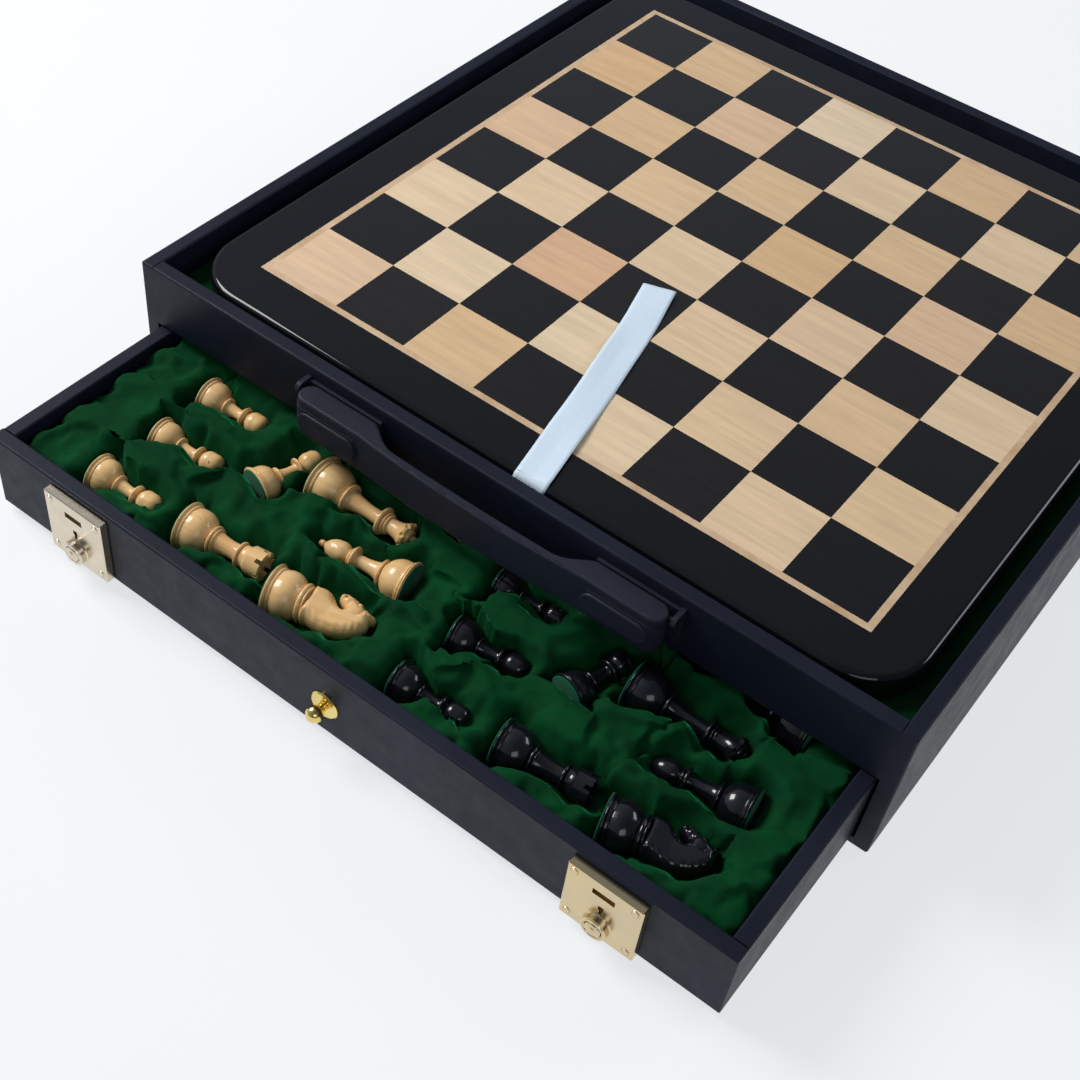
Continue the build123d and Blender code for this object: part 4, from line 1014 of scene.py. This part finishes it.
LATCH_X = {"left": -200.0, "right": 200.0}
LATCH_SIZE = (49.0, 51.0)
LATCH_FOOT = 8.0
LATCH_REACH = 6.0
LATCH_BEVEL = 0.6
HASP_SLOT = (14.5, 4.6)
HASP_SLOT_RISE = 40.5
KEYHOLE_RISE = 28.4
BUTTON_RISE = 12.8
RIVET_SPREAD = 19.6
RIVET_RISES = (5.0, 45.6)
HOLE_DEPTH = 9.0
KEYHOLE_ROUND = 3.4
KEYHOLE_TAIL = (1.9, 4.4)
KEYHOLE_TAIL_DROP = 3.2
BUTTON_HOLE = (11.4, 14.0, 11.4)
FACE_Y = -433.3
SLEEVE_OUTLINE = (
    (5.7, 0, 0), (5.7, 4.2, 0), (6.3, 4.9, 0.1), (7.8, 4.9, 0), (8.5, 4.2, 0.1), (8.5, 0.9, 0), (9.3, 0, 0),
)
BUTTON_OUTLINE = ((0, -2.6, 0), (5.3, -2.6, 0), (5.3, 4.6, 0), (4.7, 5.3, 0.1), (3.6, 5.5, 0), (0, 6.9, 0.35))
KNOB_HEIGHT = 33.0
KNOB_BALL = (5.5, 9.0)
KNOB_OUTLINE = (
    (0, -8, 0), (1.7, -8, 0), (1.7, 0, 0), (2.5, 0.2, 0),
    (2.5, 2.6, 0), (3.3, 2.9, 0.1), (3.3, 3.7, 0), (2.4, 4.0, 0.1),
    *(
        (KNOB_BALL[0] * math.cos(a), KNOB_BALL[1] + KNOB_BALL[0] * math.sin(a), 0)
        for a in np.linspace(-1.1, math.pi / 2, 22)
    ),
)
RIVET_OUTLINE = ((3.0, 0, 0), (2.9, 0.25, 0), (2.45, 0.25, 0), (2.3, -0.2, 0), (2.1, 0.35, 0), (0, 0.6, 0.08))
PAD_LENGTH = 47.0
PAD_HEIGHT = 16.0
PAD_PROUD = 1.1
PAD_FACE = -311.6
# Inset from the pad's outline and reach before the block's face, from foot to top.
PAD_STEPS = ((0, -2), (0, 0.45 * PAD_PROUD), (0.35, 0.85 * PAD_PROUD), (1.0, PAD_PROUD), (1.6, PAD_PROUD))


def facing_front(places, outline_rows, name):
    """Turned details whose axes point out of the drawer's face, as one mesh."""
    bm = bmesh.new()
    for x, y, z in places:
        before = set(bm.verts)
        lathe(bm, outline([tuple(row) for row in outline_rows]))
        fresh = [vert for vert in bm.verts if vert not in before]
        place = Matrix.Translation(Vector((x, y, z)) * MM) @ Matrix.Rotation(math.pi / 2, 4, "X")
        bmesh.ops.transform(bm, matrix=place, verts=fresh)
    return mesh_from(bm, name)


def add_latch(side, x, finish):
    """One latch: bevelled plate with its hasp slot and keyhole, rivets, sleeve and push button."""
    plate_face = FACE_Y - LATCH_REACH
    bm = bmesh.new()
    middle = LATCH_FOOT + LATCH_SIZE[1] / 2
    size = (LATCH_SIZE[0], LATCH_REACH, LATCH_SIZE[1])
    slab(bm, (x, FACE_Y - LATCH_REACH / 2, middle), size, bevel=LATCH_BEVEL)
    plate = add_object(f"{side}_latch_plate", mesh_from(bm, "latch_plate", 20), None)
    holes = [
        (HASP_SLOT_RISE, (HASP_SLOT[0], HOLE_DEPTH, HASP_SLOT[1])),
        (KEYHOLE_RISE, (KEYHOLE_ROUND, HOLE_DEPTH, KEYHOLE_ROUND)),
        (KEYHOLE_RISE - KEYHOLE_TAIL_DROP, (KEYHOLE_TAIL[0], HOLE_DEPTH, KEYHOLE_TAIL[1])),
        (BUTTON_RISE, BUTTON_HOLE),
    ]
    cut_away(plate, [((x, plate_face, LATCH_FOOT + rise), hole, 0) for rise, hole in holes])
    rivets = [
        (x + spread, plate_face, LATCH_FOOT + rise)
        for spread in (-RIVET_SPREAD, RIVET_SPREAD)
        for rise in RIVET_RISES
    ]
    button_place = [(x, plate_face, LATCH_FOOT + BUTTON_RISE)]
    sleeve = add_object(f"{side}_latch_sleeve", facing_front(button_place, SLEEVE_OUTLINE, "sleeve"), None)
    heads = add_object(f"{side}_latch_rivets", facing_front(rivets, RIVET_OUTLINE, "rivets"), None)
    button = add_object(f"{side}_push_button", facing_front(button_place, BUTTON_OUTLINE, "button"), None)
    for piece, node in ((plate, "latch_plates"), (sleeve, None), (heads, "latch_rivets")):
        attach(piece, "front_drawer")
        if node:
            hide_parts(node)
    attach(button, f"{side}_button")
    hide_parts(f"{side}_latch_button")
    for piece in (plate, sleeve, heads, button):
        piece.data.materials.clear()
        piece.data.materials.append(finish)


def handle_pad(side, low, high, finish):
    """The raised racetrack pad on one of the handle's blocks."""
    direction = -1 if side == "left" else 1
    outer = direction * (max(abs(low.x), abs(high.x)) / MM - 6.0)
    inner = outer - direction * PAD_LENGTH
    middle = (low.z + high.z) / 2 / MM - 1.0
    radius = PAD_HEIGHT / 2
    ends = sorted((inner + direction * radius, outer - direction * radius))
    loop = []
    for centre, start in ((ends[1], -90), (ends[0], 90)):
        for step in range(17):
            turned = math.radians(start + step * 180 / 16)
            loop.append((centre + radius * math.cos(turned), middle + radius * math.sin(turned)))
    bm = bmesh.new()
    rings = []
    for inset, proud in PAD_STEPS:
        share = 1 - inset / radius
        ring = []
        for px, pz in loop:
            centre = min(max(px, ends[0]), ends[1])
            point = (centre + (px - centre) * share, PAD_FACE - proud, middle + (pz - middle) * share)
            ring.append(bm.verts.new(Vector(point) * MM))
        rings.append(ring)
    count = len(loop)
    for lower, upper in zip(rings, rings[1:]):
        for i in range(count):
            bm.faces.new((lower[i], lower[(i + 1) % count], upper[(i + 1) % count], upper[i]))
    bm.faces.new(rings[-1])
    pad = add_object(f"{side}_handle_pad", mesh_from(bm, "pad", 40), finish)
    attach(pad, "handle")


# ---- finishes onto the frame's nodes


def assign_finishes(finishes):
    """Puts each slot's finish on the nodes that the record gives that slot."""
    for part in frame["record"]["subparts"]:
        obj = nodes[part["node"]]
        finish = finishes[part["material_slot"]]
        if not obj.material_slots:
            obj.data.materials.append(finish)
        for slot in obj.material_slots:
            slot.material = finish


# ---- floor, backdrop and light

PAPER = (0.955, 0.98, 1.0)


def paper():
    """Pale paper: the camera and reflections see it bright, and it keeps the object's shadow."""
    shader = Shader("paper", Roughness=0.9, Specular_IOR_Level=0.1)
    mottle = shader.noise(5.0, 4.0, 0.6)
    colour = shader.ramp(mottle, (0.3, tuple(0.97 * part for part in PAPER)), (0.7, PAPER))
    material = shader.finish(colour)
    path = shader.node("ShaderNodeLightPath")
    seen = shader.math("MAXIMUM", path.outputs["Is Camera Ray"], path.outputs["Is Glossy Ray"])
    glow = shader.node("ShaderNodeEmission")
    glow.inputs["Color"].default_value = (*PAPER, 1)
    glow.inputs["Strength"].default_value = 1.0
    blend = shader.node("ShaderNodeMixShader")
    shader.feed(blend.inputs[0], shader.math("MULTIPLY", seen, 0.72))
    shader.feed(blend.inputs[1], shader.bsdf.outputs[0])
    shader.feed(blend.inputs[2], glow.outputs[0])
    output = shader.tree.nodes["Material Output"]
    shader.feed(output.inputs["Surface"], blend.outputs[0])
    return material


def add_floor():
    bm = bmesh.new()
    bmesh.ops.create_grid(bm, x_segments=2, y_segments=2, size=30.0)
    floor = add_object("floor", mesh_from(bm, "floor"), paper())
    floor.location.z = cad_box[0][2] - 0.0004


def add_lamp(name, place, aim, size, power, colour=(1, 1, 1)):
    data = bpy.data.lights.new(name, "AREA")
    data.shape = "RECTANGLE"
    data.size, data.size_y = size
    data.energy = power
    data.color = colour
    lamp = bpy.data.objects.new(name, data)
    bpy.context.scene.collection.objects.link(lamp)
    lamp.location = place
    lamp.rotation_euler = (Vector(aim) - Vector(place)).to_track_quat("-Z", "Y").to_euler()


def add_light():
    middle = (0.0, -0.15, 0.05)
    add_lamp("key", (-1.7, -0.5, 1.7), middle, (1.0, 1.0), 45, (1.0, 0.985, 0.96))
    add_lamp("fill", (1.6, -1.9, 1.4), middle, (1.4, 1.0), 8, (0.93, 0.96, 1.0))
    add_lamp("back", (1.7, 1.9, 1.5), middle, (1.4, 0.8), 16, (0.90, 0.95, 1.0))
    world = bpy.data.worlds.new("studio")
    bpy.context.scene.world = world
    world.use_nodes = True
    background = world.node_tree.nodes["Background"]
    tree = world.node_tree
    around = tree.nodes.new("ShaderNodeTexCoord")
    parts = tree.nodes.new("ShaderNodeSeparateXYZ")
    tree.links.new(around.outputs["Generated"], parts.inputs[0])
    spread = tree.nodes.new("ShaderNodeMapRange")
    spread.inputs["From Min"].default_value = -0.9
    spread.inputs["From Max"].default_value = 0.3
    tree.links.new(parts.outputs["X"], spread.inputs["Value"])
    ramp = tree.nodes.new("ShaderNodeValToRGB")
    ramp.color_ramp.elements[0].color = (0.78, 0.85, 0.96, 1)
    ramp.color_ramp.elements[1].color = (0.20, 0.22, 0.26, 1)
    tree.links.new(spread.outputs[0], ramp.inputs["Fac"])
    tree.links.new(ramp.outputs["Color"], background.inputs["Color"])
    background.inputs["Strength"].default_value = 0.5
    backdrop = tree.nodes.new("ShaderNodeBackground")
    backdrop.inputs["Color"].default_value = (*PAPER, 1)
    path = tree.nodes.new("ShaderNodeLightPath")
    blend = tree.nodes.new("ShaderNodeMixShader")
    tree.links.new(path.outputs["Is Camera Ray"], blend.inputs[0])
    tree.links.new(background.outputs[0], blend.inputs[1])
    tree.links.new(backdrop.outputs[0], blend.inputs[2])
    tree.links.new(blend.outputs[0], tree.nodes["World Output"].inputs["Surface"])
    bpy.context.scene.view_settings.view_transform = "Standard"


# ---- the scene

add_camera()
FINE_BRUSHING = (900, 900, 900)
UPRIGHT_BRUSHING = (60, 60, 2600)
FINISHES = {
    "leatherette": leatherette(),
    "black_lacquer": black_lacquer(),
    "maple": tile_wood("maple", MAPLE_TONES, (14.0, 190.0, 60.0), 0.24, 0.86),
    "ebony_wood": tile_wood("ebony_wood", EBONY_TONES, (20.0, 260.0, 80.0), 0.12, 0.7),
    "boxwood": turned_wood("boxwood", BOXWOOD_TONES, 0.26, 0.5),
    "ebonised_wood": turned_wood("ebonised_wood", EBONISED_TONES, 0.2, 0.7),
    "green_velvet": velvet(),
    "green_felt": felt(),
    "plain_wood": plain_wood(),
    "brass": metal("brass", (0.62, 0.44, 0.12), (0.92, 0.72, 0.26), 0.16, FINE_BRUSHING),
    "pale_brass": metal(
        "pale_brass", (0.60, 0.50, 0.38), (0.74, 0.65, 0.51), 0.2, UPRIGHT_BRUSHING, (0.72, 0.57, 0.32)
    ),
    "steel": metal("steel", (0.45, 0.45, 0.47), (0.66, 0.66, 0.68), 0.3, FINE_BRUSHING),
    "black_plastic": leatherette("black_plastic", (0.022, 0.025, 0.042), (0.014, 0.016, 0.026)),
    "satin_ribbon": satin_ribbon(),
}
assign_finishes(FINISHES)
nodes["board_stringing"].material_slots[0].material = maple_strip()
dark_steel = metal("dark_steel", (0.03, 0.03, 0.035), (0.07, 0.07, 0.08), 0.4, FINE_BRUSHING)
nodes["handle_pivot_pins"].material_slots[0].material = dark_steel
KINDS = tuple(SHAPES)
STORED = tuple(kind for kind in KINDS if kind not in ("king", "queen"))
MESHES = upright_pieces()
SHADES = {"light": FINISHES["boxwood"], "dark": FINISHES["ebonised_wood"]}
for drawer_name, drawer, kinds in (("front", FRONT_DRAWER, KINDS), ("back", BACK_DRAWER, STORED)):
    lay_pieces(drawer_name, drawer, kinds, MESHES, SHADES, FINISHES["green_felt"])
    knob_mesh = facing_front([(0, 0, KNOB_HEIGHT)], KNOB_OUTLINE, "knob")
    knob = add_object(f"{drawer_name}_ball_knob", knob_mesh, FINISHES["brass"])
    knob.matrix_world = drawer
    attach(knob, f"{drawer_name}_drawer")
    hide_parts(f"{drawer_name}_drawer_knob")
    velvet_piece(drawer_name, drawer, kinds, FINISHES["green_velvet"])
lift_ribbon(FINISHES["satin_ribbon"])
for side, place in LATCH_X.items():
    add_latch(side, place, FINISHES["pale_brass"])
    handle_pad(side, *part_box("carry_handle"), FINISHES["black_plastic"])
add_floor()
add_light()
